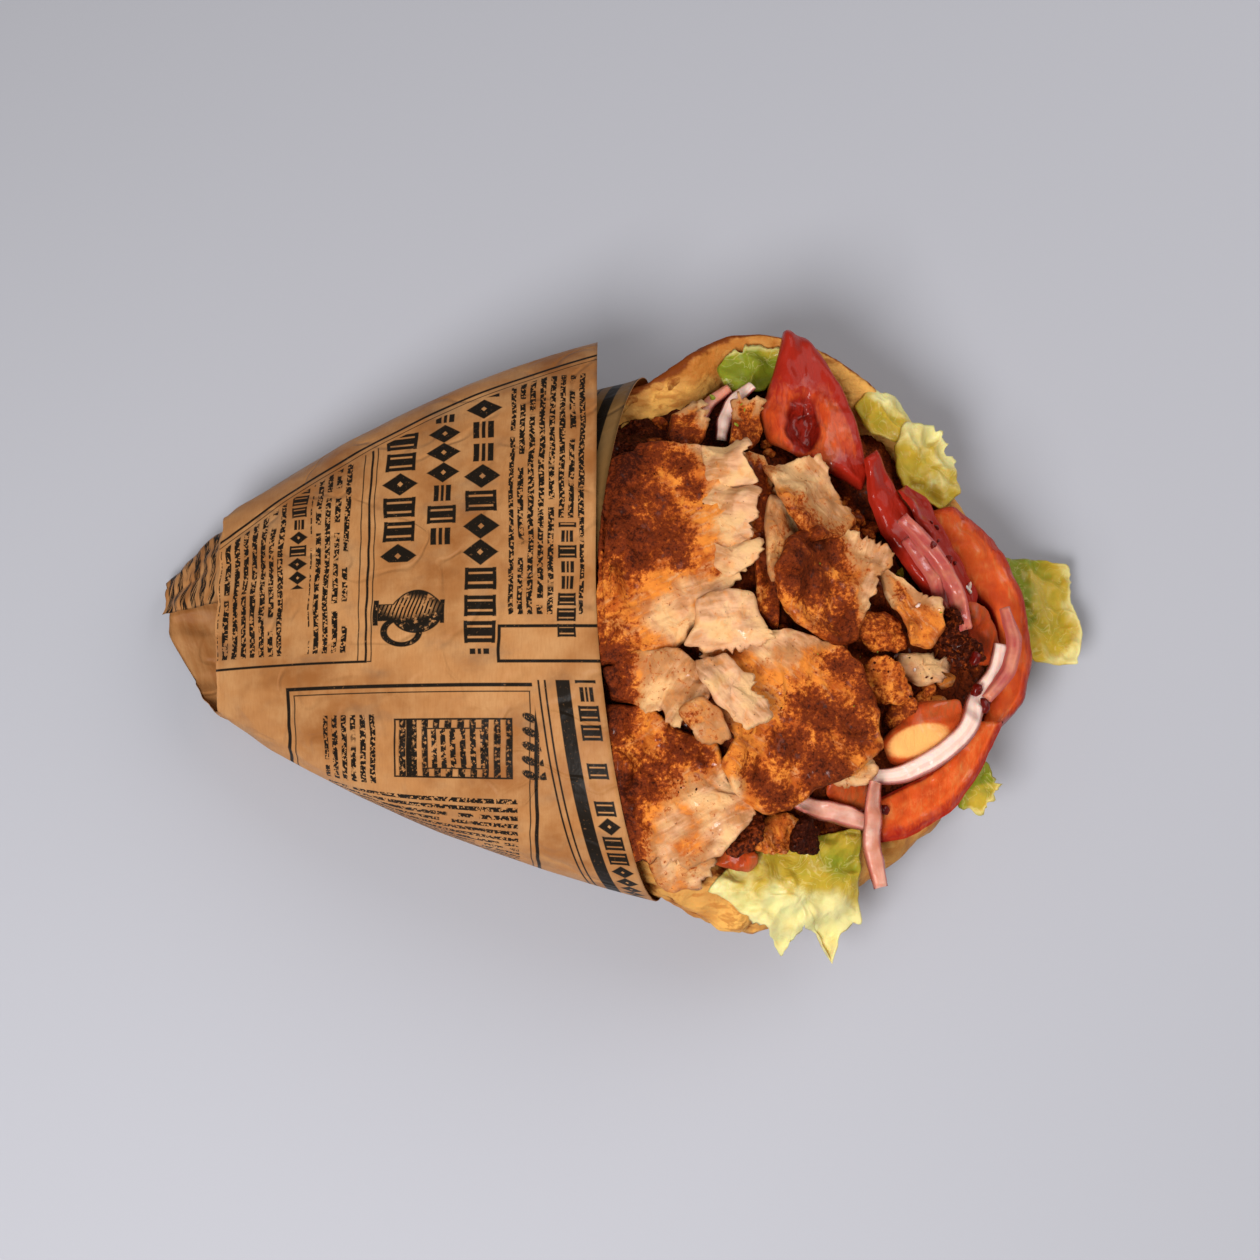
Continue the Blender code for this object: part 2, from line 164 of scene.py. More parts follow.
def paint(piece, name, red, green=0.0, blue=0.0):
    """Keeps up to three numbers a vertex as a colour attribute, for the material to read."""
    count = len(piece.data.vertices)
    colours = np.ones((count, 4), np.float32)
    for i, channel in enumerate((red, green, blue)):
        colours[:, i] = np.clip(channel, 0, 1)
    layer = piece.data.color_attributes.new(name, "FLOAT_COLOR", "POINT")
    layer.data.foreach_set("color", colours.ravel())


def set_uv(piece, name, u, v):
    layer = piece.data.uv_layers.new(name=name)
    corners = np.empty(len(piece.data.loops), np.int32)
    piece.data.loops.foreach_get("vertex_index", corners)
    layer.data.foreach_set("uv", np.column_stack([u, v])[corners].astype(np.float32).ravel())


def grid_faces(rows, columns, first=0, closed=False):
    """Quads between the points of a grid, which are stored row by row."""
    i, j = np.meshgrid(np.arange(rows - 1), np.arange(columns if closed else columns - 1),
                       indexing="ij")
    following = (j + 1) % columns
    quads = np.stack([i * columns + j, i * columns + following,
                      (i + 1) * columns + following, (i + 1) * columns + j], axis=-1)
    return quads.reshape(-1, 4) + first


# ---------------------------------------------------------------- materials

class Field:
    """A number that varies over a surface: the output of a shader node."""

    def __init__(self, tree, socket):
        self.tree = tree
        self.socket = socket

    def math(self, operation, *others):
        node = self.tree.nodes.new("ShaderNodeMath")
        node.operation = operation
        for entry, value in zip(node.inputs, (self, *others)):
            plug(self.tree, entry, value)
        return Field(self.tree, node.outputs[0])

    def __add__(self, other):
        return self.math("ADD", other)

    def __sub__(self, other):
        return self.math("SUBTRACT", other)

    def __mul__(self, other):
        return self.math("MULTIPLY", other)

    def __truediv__(self, other):
        return self.math("DIVIDE", other)

    def magnitude(self):
        return self.math("ABSOLUTE")

    def lower(self, other):
        return self.math("MINIMUM", other)

    def higher(self, other):
        return self.math("MAXIMUM", other)

    def whole(self):
        return self.math("FLOOR")

    def fraction(self):
        return self.math("FRACT")

    def inverted(self):
        return self * -1.0 + 1.0

    def ramp(self, low, high, start=0.0, end=1.0):
        """start where the field is at low, end where it is at high, smooth between."""
        node = self.tree.nodes.new("ShaderNodeMapRange")
        node.interpolation_type = "SMOOTHSTEP"
        for name, value in (("Value", self), ("From Min", low), ("From Max", high),
                            ("To Min", start), ("To Max", end)):
            plug(self.tree, node.inputs[name], value)
        return Field(self.tree, node.outputs["Result"])


def plug(tree, entry, value):
    if isinstance(value, Field):
        tree.links.new(value.socket, entry)
    elif isinstance(value, tuple) and len(value) == 3 and entry.type == "RGBA":
        entry.default_value = (*value, 1.0)
    else:
        entry.default_value = value


class Look:
    """A material in the making."""

    def __init__(self, name):
        self.material = bpy.data.materials.new(name)
        self.material.use_nodes = True
        self.tree = self.material.node_tree
        self.shader = self.tree.nodes["Principled BSDF"]
        coordinates = self.tree.nodes.new("ShaderNodeTexCoord")
        self.place = self.scaled(Field(self.tree, coordinates.outputs["Object"]), 1 / MM)

    def scaled(self, vector, factor):
        node = self.tree.nodes.new("ShaderNodeVectorMath")
        node.operation = "MULTIPLY"
        plug(self.tree, node.inputs[0], vector)
        node.inputs[1].default_value = factor if isinstance(factor, tuple) else (factor,) * 3
        return Field(self.tree, node.outputs[0])

    def vector(self, x, y, z=0.0):
        node = self.tree.nodes.new("ShaderNodeCombineXYZ")
        for entry, value in zip(node.inputs, (x, y, z)):
            plug(self.tree, entry, value)
        return Field(self.tree, node.outputs[0])

    def noise(self, size, detail=3.0, at=None, stretch=1.0, distortion=0.0, roughness=0.55):
        """Noise from 0 to 1 with lumps about size mm across, drawn out along an axis by stretch."""
        node = self.tree.nodes.new("ShaderNodeTexNoise")
        place = at or self.place
        factor = tuple(1 / (size * s) for s in stretch) if isinstance(stretch, tuple) else 1 / size
        plug(self.tree, node.inputs["Vector"], self.scaled(place, factor))
        node.inputs["Scale"].default_value = 1.0
        node.inputs["Detail"].default_value = detail
        node.inputs["Roughness"].default_value = roughness
        node.inputs["Distortion"].default_value = distortion
        return Field(self.tree, node.outputs[0])

    def cells(self, size, at=None, feature="F1", output="Distance"):
        node = self.tree.nodes.new("ShaderNodeTexVoronoi")
        node.feature = feature
        plug(self.tree, node.inputs["Vector"], self.scaled(at or self.place, 1 / size))
        node.inputs["Scale"].default_value = 1.0
        return Field(self.tree, node.outputs[output])

    def chance(self, x, y):
        """A fixed random number from 0 to 1 for each pair of whole numbers."""
        node = self.tree.nodes.new("ShaderNodeTexWhiteNoise")
        node.noise_dimensions = "2D"
        plug(self.tree, node.inputs["Vector"], self.vector(x, y))
        return Field(self.tree, node.outputs["Value"])

    def painted(self, name):
        """The three numbers that paint() kept."""
        attribute = self.tree.nodes.new("ShaderNodeAttribute")
        attribute.attribute_name = name
        split = self.tree.nodes.new("ShaderNodeSeparateColor")
        self.tree.links.new(attribute.outputs["Color"], split.inputs[0])
        return [Field(self.tree, socket) for socket in split.outputs]

    def uv(self, name):
        node = self.tree.nodes.new("ShaderNodeUVMap")
        node.uv_map = name
        split = self.tree.nodes.new("ShaderNodeSeparateXYZ")
        self.tree.links.new(node.outputs[0], split.inputs[0])
        return Field(self.tree, split.outputs[0]), Field(self.tree, split.outputs[1])

    def blend(self, share, below, above):
        """The colour above where share is 1, and the colour below where it is 0."""
        node = self.tree.nodes.new("ShaderNodeMix")
        node.data_type = "RGBA"
        plug(self.tree, node.inputs[0], share)
        plug(self.tree, node.inputs[6], below)
        plug(self.tree, node.inputs[7], above)
        return Field(self.tree, node.outputs[2])

    def bump(self, height, depth, below=None):
        """A normal from a height that runs from 0 to 1 and stands depth mm tall."""
        node = self.tree.nodes.new("ShaderNodeBump")
        node.inputs["Distance"].default_value = depth * MM
        node.inputs["Strength"].default_value = 1.0
        plug(self.tree, node.inputs["Height"], height)
        if below:
            plug(self.tree, node.inputs["Normal"], below)
        return Field(self.tree, node.outputs[0])

    def done(self, **values):
        """Sets the shader's sockets, named with _ for each space."""
        values.setdefault("Specular_IOR_Level", 0.12)
        for name, value in values.items():
            plug(self.tree, self.shader.inputs[name.replace("_", " ")], value)
        return self.material


# ---------------------------------------------------------------- print on the paper

INK_EDGE = 0.12         # softness of a printed edge
KRAFT = (0.47, 0.21, 0.072)
KRAFT_DARK = (0.29, 0.105, 0.028)
KRAFT_LIGHT = (0.56, 0.30, 0.125)
SMUDGE = (0.15, 0.105, 0.07)
# painted shade: the colour the inner layer near the mouth, under the flap, is darkened towards
INNER_LAYER_SHADE = (0.10, 0.060, 0.018)
INK = (0.012, 0.008, 0.005)


def inside_box(u, v, low, high):
    """Distance into a box, in mm, where u and v run over the sheet."""
    across = (u - low[0]).lower(u * -1.0 + high[0])
    along = (v - low[1]).lower(v * -1.0 + high[1])
    return across.lower(along)


def inside_oval(u, v, centre, radii):
    """About the distance into an oval, in mm."""
    a = (u - centre[0]) / radii[0]
    b = (v - centre[1]) / radii[1]
    return ((a * a + b * b).math("SQRT").inverted()) * min(radii)


def inked(distance):
    return distance.ramp(-INK_EDGE, INK_EDGE)


def outline(distance, width):
    """Ink in a line of that width along the edge of a shape."""
    return inked(distance.magnitude() * -1.0 + width / 2)


def small_print(look, across, along, pitch, letter, seed):
    """Rows of broken marks with gaps between them, too small and rough to be letters."""
    row = (across / pitch).whole()
    within = (across / pitch).fraction()
    band = (within - 0.5).magnitude().ramp(0.34, 0.24)
    shifted = row * 7.7 + seed
    marks = look.noise(letter, 2.0, at=look.vector(along, across * 0.8, shifted))
    words = look.noise(letter * 7, 0.0, at=look.vector(along, shifted, 0.0))
    return band * marks.ramp(0.42, 0.48) * words.ramp(0.29, 0.33)


def display_row(look, across, along, centre, height, cell, seed):
    """A row of bold ornaments: lozenges, slit blocks and low domes."""
    place = (along / cell).whole()
    a = ((along / cell).fraction() - 0.5).magnitude() * cell
    b = (across - centre).magnitude()
    kind = look.chance(place, seed)
    lozenge = (a / (cell * 0.5) + b / (height * 0.6)).inverted() * (height * 0.3)
    lozenge = lozenge.lower((a + b) - height * 0.1)
    block = (a * -1.0 + cell * 0.4).lower(b * -1.0 + height * 0.5)
    block = block.lower((a - cell * 0.2).magnitude() - height * 0.035)
    block = block.higher((a * -1.0 + cell * 0.42).lower((b - height * 0.46).magnitude() * -1.0
                                                          + height * 0.06))
    dome = (a * -1.0 + cell * 0.38).lower(b * -1.0 + height * 0.34)
    dome = dome.lower((b - height * 0.1).magnitude() - height * 0.04)
    pick = kind.ramp(0.399, 0.4)
    shape = lozenge * pick.inverted() + block * pick
    pick = kind.ramp(0.749, 0.75)
    shape = shape * pick.inverted() + dome * pick
    return inked(shape) * kind.ramp(0.04, 0.05)


def jug(look, u, v, centre, size):
    """An engraved jug, lying with its mouth towards lower u: body, neck, handle and hatching."""
    a = (u - centre[0]) / size
    b = (v - centre[1]) / size
    body = inside_oval(a, b, (0.15, 0.0), (0.62, 0.5))
    neck = inside_box(a, b, (-0.75, -0.2), (-0.2, 0.2))
    lip = inside_box(a, b, (-0.86, -0.3), (-0.74, 0.3))
    foot = inside_box(a, b, (0.7, -0.28), (0.8, 0.28))
    handle = inside_oval(a, b, (-0.2, 0.45), (0.42, 0.3)).magnitude() * -1.0 + 0.055
    solid = body.higher(neck).higher(lip).higher(foot).higher(handle) * size
    hatch = ((a * 1.0 + b * 0.35) * (size / 0.9)).fraction()
    light = inside_oval(a, b, (0.0, -0.12), (0.5, 0.2)) * size
    rough = look.noise(1.2, 3.0, at=look.vector(u, v, 3.1))
    shade = hatch.ramp(0.45, 0.6).higher(light.ramp(0.6, -1.2))
    shade = shade * rough.ramp(0.3, 0.42)
    return inked(solid) * shade.higher(outline(solid, 0.55))


def jar(look, u, v, low, high):
    """An engraved jar on its side: banded body, lid, and a label with small marks."""
    body = inside_box(u, v, low, high)
    lid_u = low[0] + 0.13 * (high[0] - low[0])
    lid = (u - lid_u).magnitude() * -1.0 + 0.7
    bands = ((u - low[0]) / 2.6).fraction()
    label = inside_box(u, v, (low[0] + 7.5, low[1] + 2.2), (high[0] - 6.0, high[1] - 2.2))
    marks = small_print(look, u, v, 2.1, 0.7, 41.0)
    rough = look.noise(0.9, 3.0, at=look.vector(u, v, 9.0))
    shade = bands.ramp(0.35, 0.5) * rough.ramp(0.34, 0.5)
    shade = shade.higher(inked(lid))
    shade = shade * inked(label).inverted() + marks * inked(label)
    return inked(body) * shade.higher(outline(body, 0.8)).higher(outline(label, 0.3))


def sprig(look, u, v, centre, size, count=5):
    """An engraved sprig: pairs of leaves along a stem that runs along v."""
    stem = inside_box(u, v, (centre[0] - 0.22, centre[1] - size), (centre[0] + 0.22, centre[1] + size))
    shape = stem
    for k in range(count):
        leaf_v = centre[1] + size * (2 * k / (count - 1) - 1) * 0.86
        for side in (-1, 1):
            leaf_u = centre[0] + side * size * 0.27
            shape = shape.higher(inside_oval(u, v + u * (0.35 * side),
                                             (leaf_u, leaf_v + 0.35 * side * leaf_u),
                                             (size * 0.24, size * 0.13)))
    vein = look.noise(0.5, 2.0, at=look.vector(u * 2.0, v, 5.0))
    return inked(shape) * vein.ramp(0.3, 0.45)


def union(first, *others):
    for other in others:
        first = first.higher(other)
    return first


def printed_page(look):
    """All the ink on the sheet. u runs along the roll in mm, and v round it from its crest."""
    u, v = look.uv("print")
    edge, side = look.uv("edge")
    wobble = look.noise(9.0, 1.0, at=look.vector(u, v)) * 1.2
    u = u + wobble
    rows = small_print(look, u, v, 2.15, 0.62, 0.0)
    cross_rows = small_print(look, v, u, 2.0, 0.6, 2.0)

    left = inked(inside_box(u, v, (-91.0, -40.0), (-60.0, 12.5)))
    left_gap = inked(inside_box(u, v, (-75.0, -40.0), (-69.6, 12.5)))
    near_mouth = inked(inside_box(u, v, (-25.2, -52.0), (-8.4, 5.0)))
    mouth_gap = inked(inside_box(u, v, (-15.2, -16.0), (-10.0, 12.0)))
    page = union(
        left * left_gap.inverted() * rows,
        near_mouth * mouth_gap.inverted() * rows,
        outline(inside_box(u, v, (-96.0, -90.0), (-56.2, 14.6)), 0.55),
        outline(inside_box(u, v, (-58.0, -90.0), (-55.0, 14.6)), 0.25),
        outline(inside_box(u, v, (-27.0, 7.5), (-4.0, 15.0)), 0.7),
    )
    heads = union(*(
        inked(inside_box(u, v, (centre - 5.0, low), (centre + 5.0, high)))
        * display_row(look, u, v, centre, height, cell, seed)
        for centre, low, high, height, cell, seed in (
            (-49.5, -40.0, -7.0, 6.8, 5.6, 1.0),
            (-40.0, -43.0, -9.0, 6.2, 5.0, 2.0),
            (-31.2, -48.0, 13.5, 6.6, 5.8, 3.0),
            (-72.4, -28.0, -2.0, 3.6, 3.1, 4.0),
            (-12.6, -15.0, 12.0, 3.8, 3.4, 8.0),
        )))
    lower = union(
        outline(inside_box(u, v, (-74.0, 20.0), (-19.0, 110.0)), 0.8),
        outline(inside_box(u, v, (-72.6, 21.4), (-20.4, 110.0)), 0.25),
        jar(look, u, v, (-50.0, 27.0), (-24.0, 40.0)),
        inked(inside_box(u, v, (-66.0, 44.0), (-23.0, 70.0))) * cross_rows,
        inked(inside_box(u, v, (-66.0, 26.0), (-54.0, 42.0))) * rows,
    )
    border = union(
        inked((edge - 8.4).magnitude() * -1.0 + 1.5),
        inked((edge - 12.2).magnitude() * -1.0 + 0.22),
        inked((edge - 13.6).magnitude() * -1.0 + 0.22),
        display_row(look, edge, v, 3.6, 4.2, 4.0, 6.0),
    ) * inked(v - 19.0) * inked(edge * -1.0 + 15.0) * inked(v * -1.0 + 120.0)
    free_edge = union(inked((side - 12.0).magnitude() * -1.0 + 0.4),
                      inked((side - 13.6).magnitude() * -1.0 + 0.12))
    inner = union(inked((edge - 4.5).magnitude() * -1.0 + 1.2),
                  inked((edge - 8.0).magnitude() * -1.0 + 0.25)) * inked(v - 120.0)
    at_tip = rows * inked(u * -1.0 - 92.5)
    clear_of_border = (inked(v - 18.0) * inked(edge * -1.0 + 15.0)).inverted()
    return union(
        (page.higher(heads)).higher(lower) * clear_of_border * inked(side - 14.5),
        jug(look, u, v, (-46.5, 4.0), 9.5),
        sprig(look, u, v, (-18.5, 33.0), 7.0) * clear_of_border,
        border, free_edge, inner, at_tip)


def kraft(look):
    """(colour, height of its fibres) of bare kraft paper."""
    u, v = look.uv("print")
    sheet = look.vector(u, v)
    blotch = look.noise(26.0, 4.0, at=sheet)
    fibre = look.noise(0.9, 4.0, at=sheet, stretch=(0.5, 3.0, 1.0))
    colour = look.blend(blotch.ramp(0.34, 0.62), KRAFT_DARK, KRAFT)
    colour = look.blend(look.noise(7.0, 5.0, at=sheet).ramp(0.35, 0.75, 0.0, 0.55), colour, KRAFT_LIGHT)
    colour = look.blend(fibre.ramp(0.35, 0.8, 0.0, 0.25), colour, KRAFT_DARK)
    return colour, fibre


def paper_material(printed):
    look = Look("paper_printed" if printed else "paper_plain")
    colour, fibre = kraft(look)
    if printed:
        u, v = look.uv("print")
        sheet = look.vector(u, v)
        smudge = look.noise(13.0, 6.0, at=sheet, stretch=(1.0, 0.6, 1.0)).ramp(0.5, 0.8, 0.0, 0.5)
        colour = look.blend(smudge, colour, SMUDGE)
        worn = look.noise(0.7, 4.0, at=sheet).ramp(0.25, 0.4, 0.65, 1.0)
        # painted shade: the inner layer near the mouth, which lies under the flap, is darkened towards
        # an olive brown
        inner_layer_shade = look.uv("edge")[0].ramp(22.0, 4.0) * v.ramp(115.0, 125.0)
        colour = look.blend(inner_layer_shade * 0.75, colour, INNER_LAYER_SHADE)
        colour = look.blend(printed_page(look) * worn, colour, INK)
    crumple = look.noise(6.0, 3.0, distortion=0.4)
    folds = (look.noise(24.0, 2.0, distortion=0.3) - 0.5).magnitude().ramp(0.0, 0.03)
    normal = look.bump(crumple, 0.4)
    normal = look.bump(folds, 0.2, normal)
    normal = look.bump(fibre, 0.03, normal)
    gloss = look.noise(18.0, 3.0).ramp(0.3, 0.7, 0.36, 0.52)
    return look.done(Base_Color=colour, Roughness=gloss, Normal=normal, Specular_IOR_Level=0.07)


# ---------------------------------------------------------------- paper

def roll_half_width(x):
    s = (x - APEX_X) / (MOUTH_X - APEX_X)
    return MOUTH_HALF_WIDTH * s ** CONE_POWER + CONE_BULGE * np.sin(np.pi * np.minimum(s, 1.0))


def roll_centre(x):
    return MOUTH_SHIFT + TIP_SHIFT * (1 - np.clip((x - APEX_X) / (SPREAD_X - APEX_X), 0, 1))


def squeeze(x):
    return TIP_SQUEEZE * ease(*SQUEEZE_X, x)


def pinch(x):
    return MOUTH_PINCH * ease(*PINCH_RISE_X, x) * ease(*PINCH_FALL_X, x)


def paper_ends(turn):
    """X of the sheet's tip end and mouth end, at an angle from its free edge."""
    under = np.clip((turn - MOUTH_CURVE_TURN) / (PAPER_TURN - MOUTH_CURVE_TURN), 0, 1)
    mouth = mix(PAPER_TOP_X, PAPER_BOTTOM_X, np.abs(np.sin(np.pi * under)) ** MOUTH_CURVE_POWER)
    tip = mix(PAPER_EDGE_X, PAPER_TIP_X, ease(*OUTER_TO_INNER, turn))
    return tip, mouth


def paper_surface(turn, x):
    """Points of the sheet's inner face, on the spiral that starts at its free edge."""
    inset = PAPER_PITCH * turn / 360 + squeeze(x) * ease(*OUTER_TO_INNER, turn) - PAPER_SKIN
    pinched = pinch(x) * ease(*PINCH_TURN, turn)
    half_width = roll_half_width(x)
    width = half_width - pinched
    degrees = (PAPER_FREE_ANGLE + turn + 90) % 360 - 90
    side = np.where(degrees > 90, -1.0, 1.0)
    a = np.radians(np.minimum(degrees, 180 - degrees))
    out = (width - inset) * signed_power(np.cos(a), SECTION_POWER)
    tall = half_width / 2 - inset
    height = half_width / 2 + tall * signed_power(np.sin(a), SECTION_POWER) - FLAT
    loose = PAPER_FLAP_LIFT * ease(FLAP_TURN, 0, turn) * ease(FLAP_FROM_X, 0, x)
    height = np.maximum(height, np.maximum(PAPER_FLOOR + squeeze(x) - PAPER_SKIN, inset))
    y = roll_centre(x) - pinched + side * out + loose
    return np.stack([x, y, height + FLAP_RISE * loose], axis=-1)


def length_from_crest(turn, x):
    """How far round the roll each point is from its crest, along the sheet."""
    turns = np.linspace(0, PAPER_TURN, 221)
    stations = np.linspace(PAPER_TIP_X - 1, PAPER_BOTTOM_X + 1, 50)
    sheet = paper_surface(turns[:, None], np.broadcast_to(stations, (221, 50)))
    steps = np.linalg.norm(np.diff(sheet, axis=0), axis=2)
    length = np.vstack([np.zeros(50), np.cumsum(steps, axis=0)])
    column = np.interp(x, stations, np.arange(50))
    left = np.clip(np.floor(column).astype(int), 0, 48)
    row = np.interp(turn, turns, np.arange(221))
    above = np.clip(np.floor(row).astype(int), 0, 219)
    s, t = column - left, row - above
    crest = length[int(round(CREST_TURN / PAPER_TURN * 220))]
    length = length - crest
    return ((1 - t) * ((1 - s) * length[above, left] + s * length[above, left + 1])
            + t * ((1 - s) * length[above + 1, left] + s * length[above + 1, left + 1]))


def grid_normals(grid):
    across = np.gradient(grid, axis=0)
    along = np.gradient(grid, axis=1)
    normals = np.cross(across, along)
    return normals / np.maximum(np.linalg.norm(normals, axis=2, keepdims=True), 1e-9)


def creases(turn, x, points):
    """Height of the sheet's creases: soft folds along the roll near its tip, and small dents."""
    flat = np.column_stack([x.ravel() * 0.35, points[..., 1].ravel(), points[..., 2].ravel()])
    folds = (1 - np.abs(noise(flat, 9.0, 3, 2))) ** 2 * ease(-35.0, -90.0, x.ravel())
    dents = noise(points.reshape(-1, 3), 17.0, 8, 2)
    edge = ease(0.0, 12.0, turn.ravel())
    crumple = np.abs(noise(flat, 5.0, 4, 2)) * ease(-84.0, -98.0, x.ravel())
    return (PAPER_CREASE * (0.9 * folds + 0.5 * dents + 2.2 * crumple) * edge).reshape(x.shape)


def add_paper():
    turn = np.linspace(0, PAPER_TURN, PAPER_ROWS)[:, None] * np.ones(PAPER_STATIONS)
    tip, mouth = paper_ends(turn)
    x = mix(tip, mouth, np.linspace(0, 1, PAPER_STATIONS))
    inner = paper_surface(turn, x)
    normals = grid_normals(inner)
    inner = inner + normals * creases(turn, x, inner)[..., None]
    inner[..., 2] = np.maximum(inner[..., 2], PAPER_LOWEST)
    outer = inner + normals * PAPER_THICKNESS
    inner = inner.reshape(-1, 3)
    outer = outer.reshape(-1, 3)
    count = len(inner)
    sheet = grid_faces(PAPER_ROWS, PAPER_STATIONS)
    index = np.arange(count).reshape(PAPER_ROWS, PAPER_STATIONS)
    border = np.concatenate([index[0, :-1], index[:-1, -1], index[-1, :0:-1], index[:0:-1, 0]])
    ahead = np.roll(border, -1)
    rim = np.column_stack([border, ahead, ahead + count, border + count])
    faces = np.vstack([sheet + count, sheet[:, ::-1], rim[:, ::-1]])
    piece = add_piece("paper", np.vstack([inner, outer]), faces, paper_material(True),
                      ("paper_wrap",))
    piece.data.materials.append(paper_material(False))
    plain = np.zeros(len(faces), np.int32)
    plain[len(sheet):] = 1
    piece.data.polygons.foreach_set("material_index", plain)
    v = length_from_crest(turn.ravel(), x.ravel())
    set_uv(piece, "print", np.tile(x.ravel(), 2), np.tile(v, 2))
    from_side = v - np.tile(v[:PAPER_STATIONS], PAPER_ROWS)
    set_uv(piece, "edge", np.tile((mouth - x).ravel(), 2), np.tile(from_side, 2))
    return piece


# Food is kept under the sheet at its mouth, and rises by a slope just outside it.
MOUTH_REACH = 16.0      # no food beyond this x is near the mouth
MOUTH_STEPS = (0.0, 1.5, 3.0, 4.5)
MOUTH_GAP = 1.2
MOUTH_SLOPE = 1.3
MOUTH_NEAR = 10.0       # a sheet farther below the food than this is the one underneath it
HIGH = 90.0             # above all the food


def under_paper(points, paper, depth):
    """Food points lowered so that none stands through the sheet.

    depth is how far each point has to stay below the top of its own piece.
    """
    tree = BVHTree.FromObject(paper, bpy.context.evaluated_depsgraph_get())
    points = points.copy()
    for i in np.flatnonzero(points[:, 0] < MOUTH_REACH):
        x, y, z = points[i]
        for step in MOUTH_STEPS:
            start = Vector((np.array((x - step, y, HIGH)) + DESIGN_TO_PART) * MM)
            hit = tree.ray_cast(start, Vector((0, 0, -1)))[0]
            sheet = -HIGH if hit is None else hit.z / MM - DESIGN_TO_PART[2]
            if sheet > z - MOUTH_NEAR:
                z = min(z, sheet - MOUTH_GAP + MOUTH_SLOPE * step - depth[i])
        points[i, 2] = z
    return points


# ---------------------------------------------------------------- shapes of food

TEETH_SIZE = 2.0        # of the teeth along a torn edge
SOFTEN = 1.5            # how far the height of a CAD piece is averaged over in plan
ROUNDED_EDGE = 0.5


def cad_points(*nodes):
    """All the vertices of some CAD pieces, in the design frame."""
    found = []
    for node in nodes:
        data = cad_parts[node].data
        points = np.empty(len(data.vertices) * 3, np.float32)
        data.vertices.foreach_get("co", points)
        found.append(points.reshape(-1, 3) / MM - DESIGN_TO_PART)
    return np.vstack(found)


def middle_height(node, x, y):
    """Height of the middle of a CAD piece, at places on it or a little beyond its edge."""
    points = cad_points(node)
    squared = (x[:, None] - points[:, 0]) ** 2 + (y[:, None] - points[:, 1]) ** 2
    weights = 1 / (squared + SOFTEN ** 2) ** 2
    return weights @ points[:, 2] / weights.sum(axis=1)


def resampled(line, count, closed=False):
    """Points evenly spaced along a line."""
    line = np.asarray(line, float)
    if closed:
        line = np.vstack([line, line[:1]])
    along = np.concatenate([[0], np.cumsum(np.hypot(*np.diff(line, axis=0).T))])
    wanted = np.linspace(0, along[-1], count, endpoint=not closed)
    return np.column_stack([np.interp(wanted, along, line[:, i]) for i in range(2)])


def rounded(line, rounds, closed=False):
    """The line with its corners smoothed off."""
    line = line.copy()
    for _ in range(rounds):
        before, after = np.roll(line, 1, axis=0), np.roll(line, -1, axis=0)
        relaxed = (before + 2 * line + after) / 4
        if not closed:
            relaxed[0], relaxed[-1] = line[0], line[-1]
        line = relaxed
    return line


def edge_profile(distance, width):
    """Share of the full thickness at a distance from the edge: a rounded edge."""
    inward = np.clip(distance / width, 0, 1)
    return (1 - (1 - inward) ** 2) ** ROUNDED_EDGE


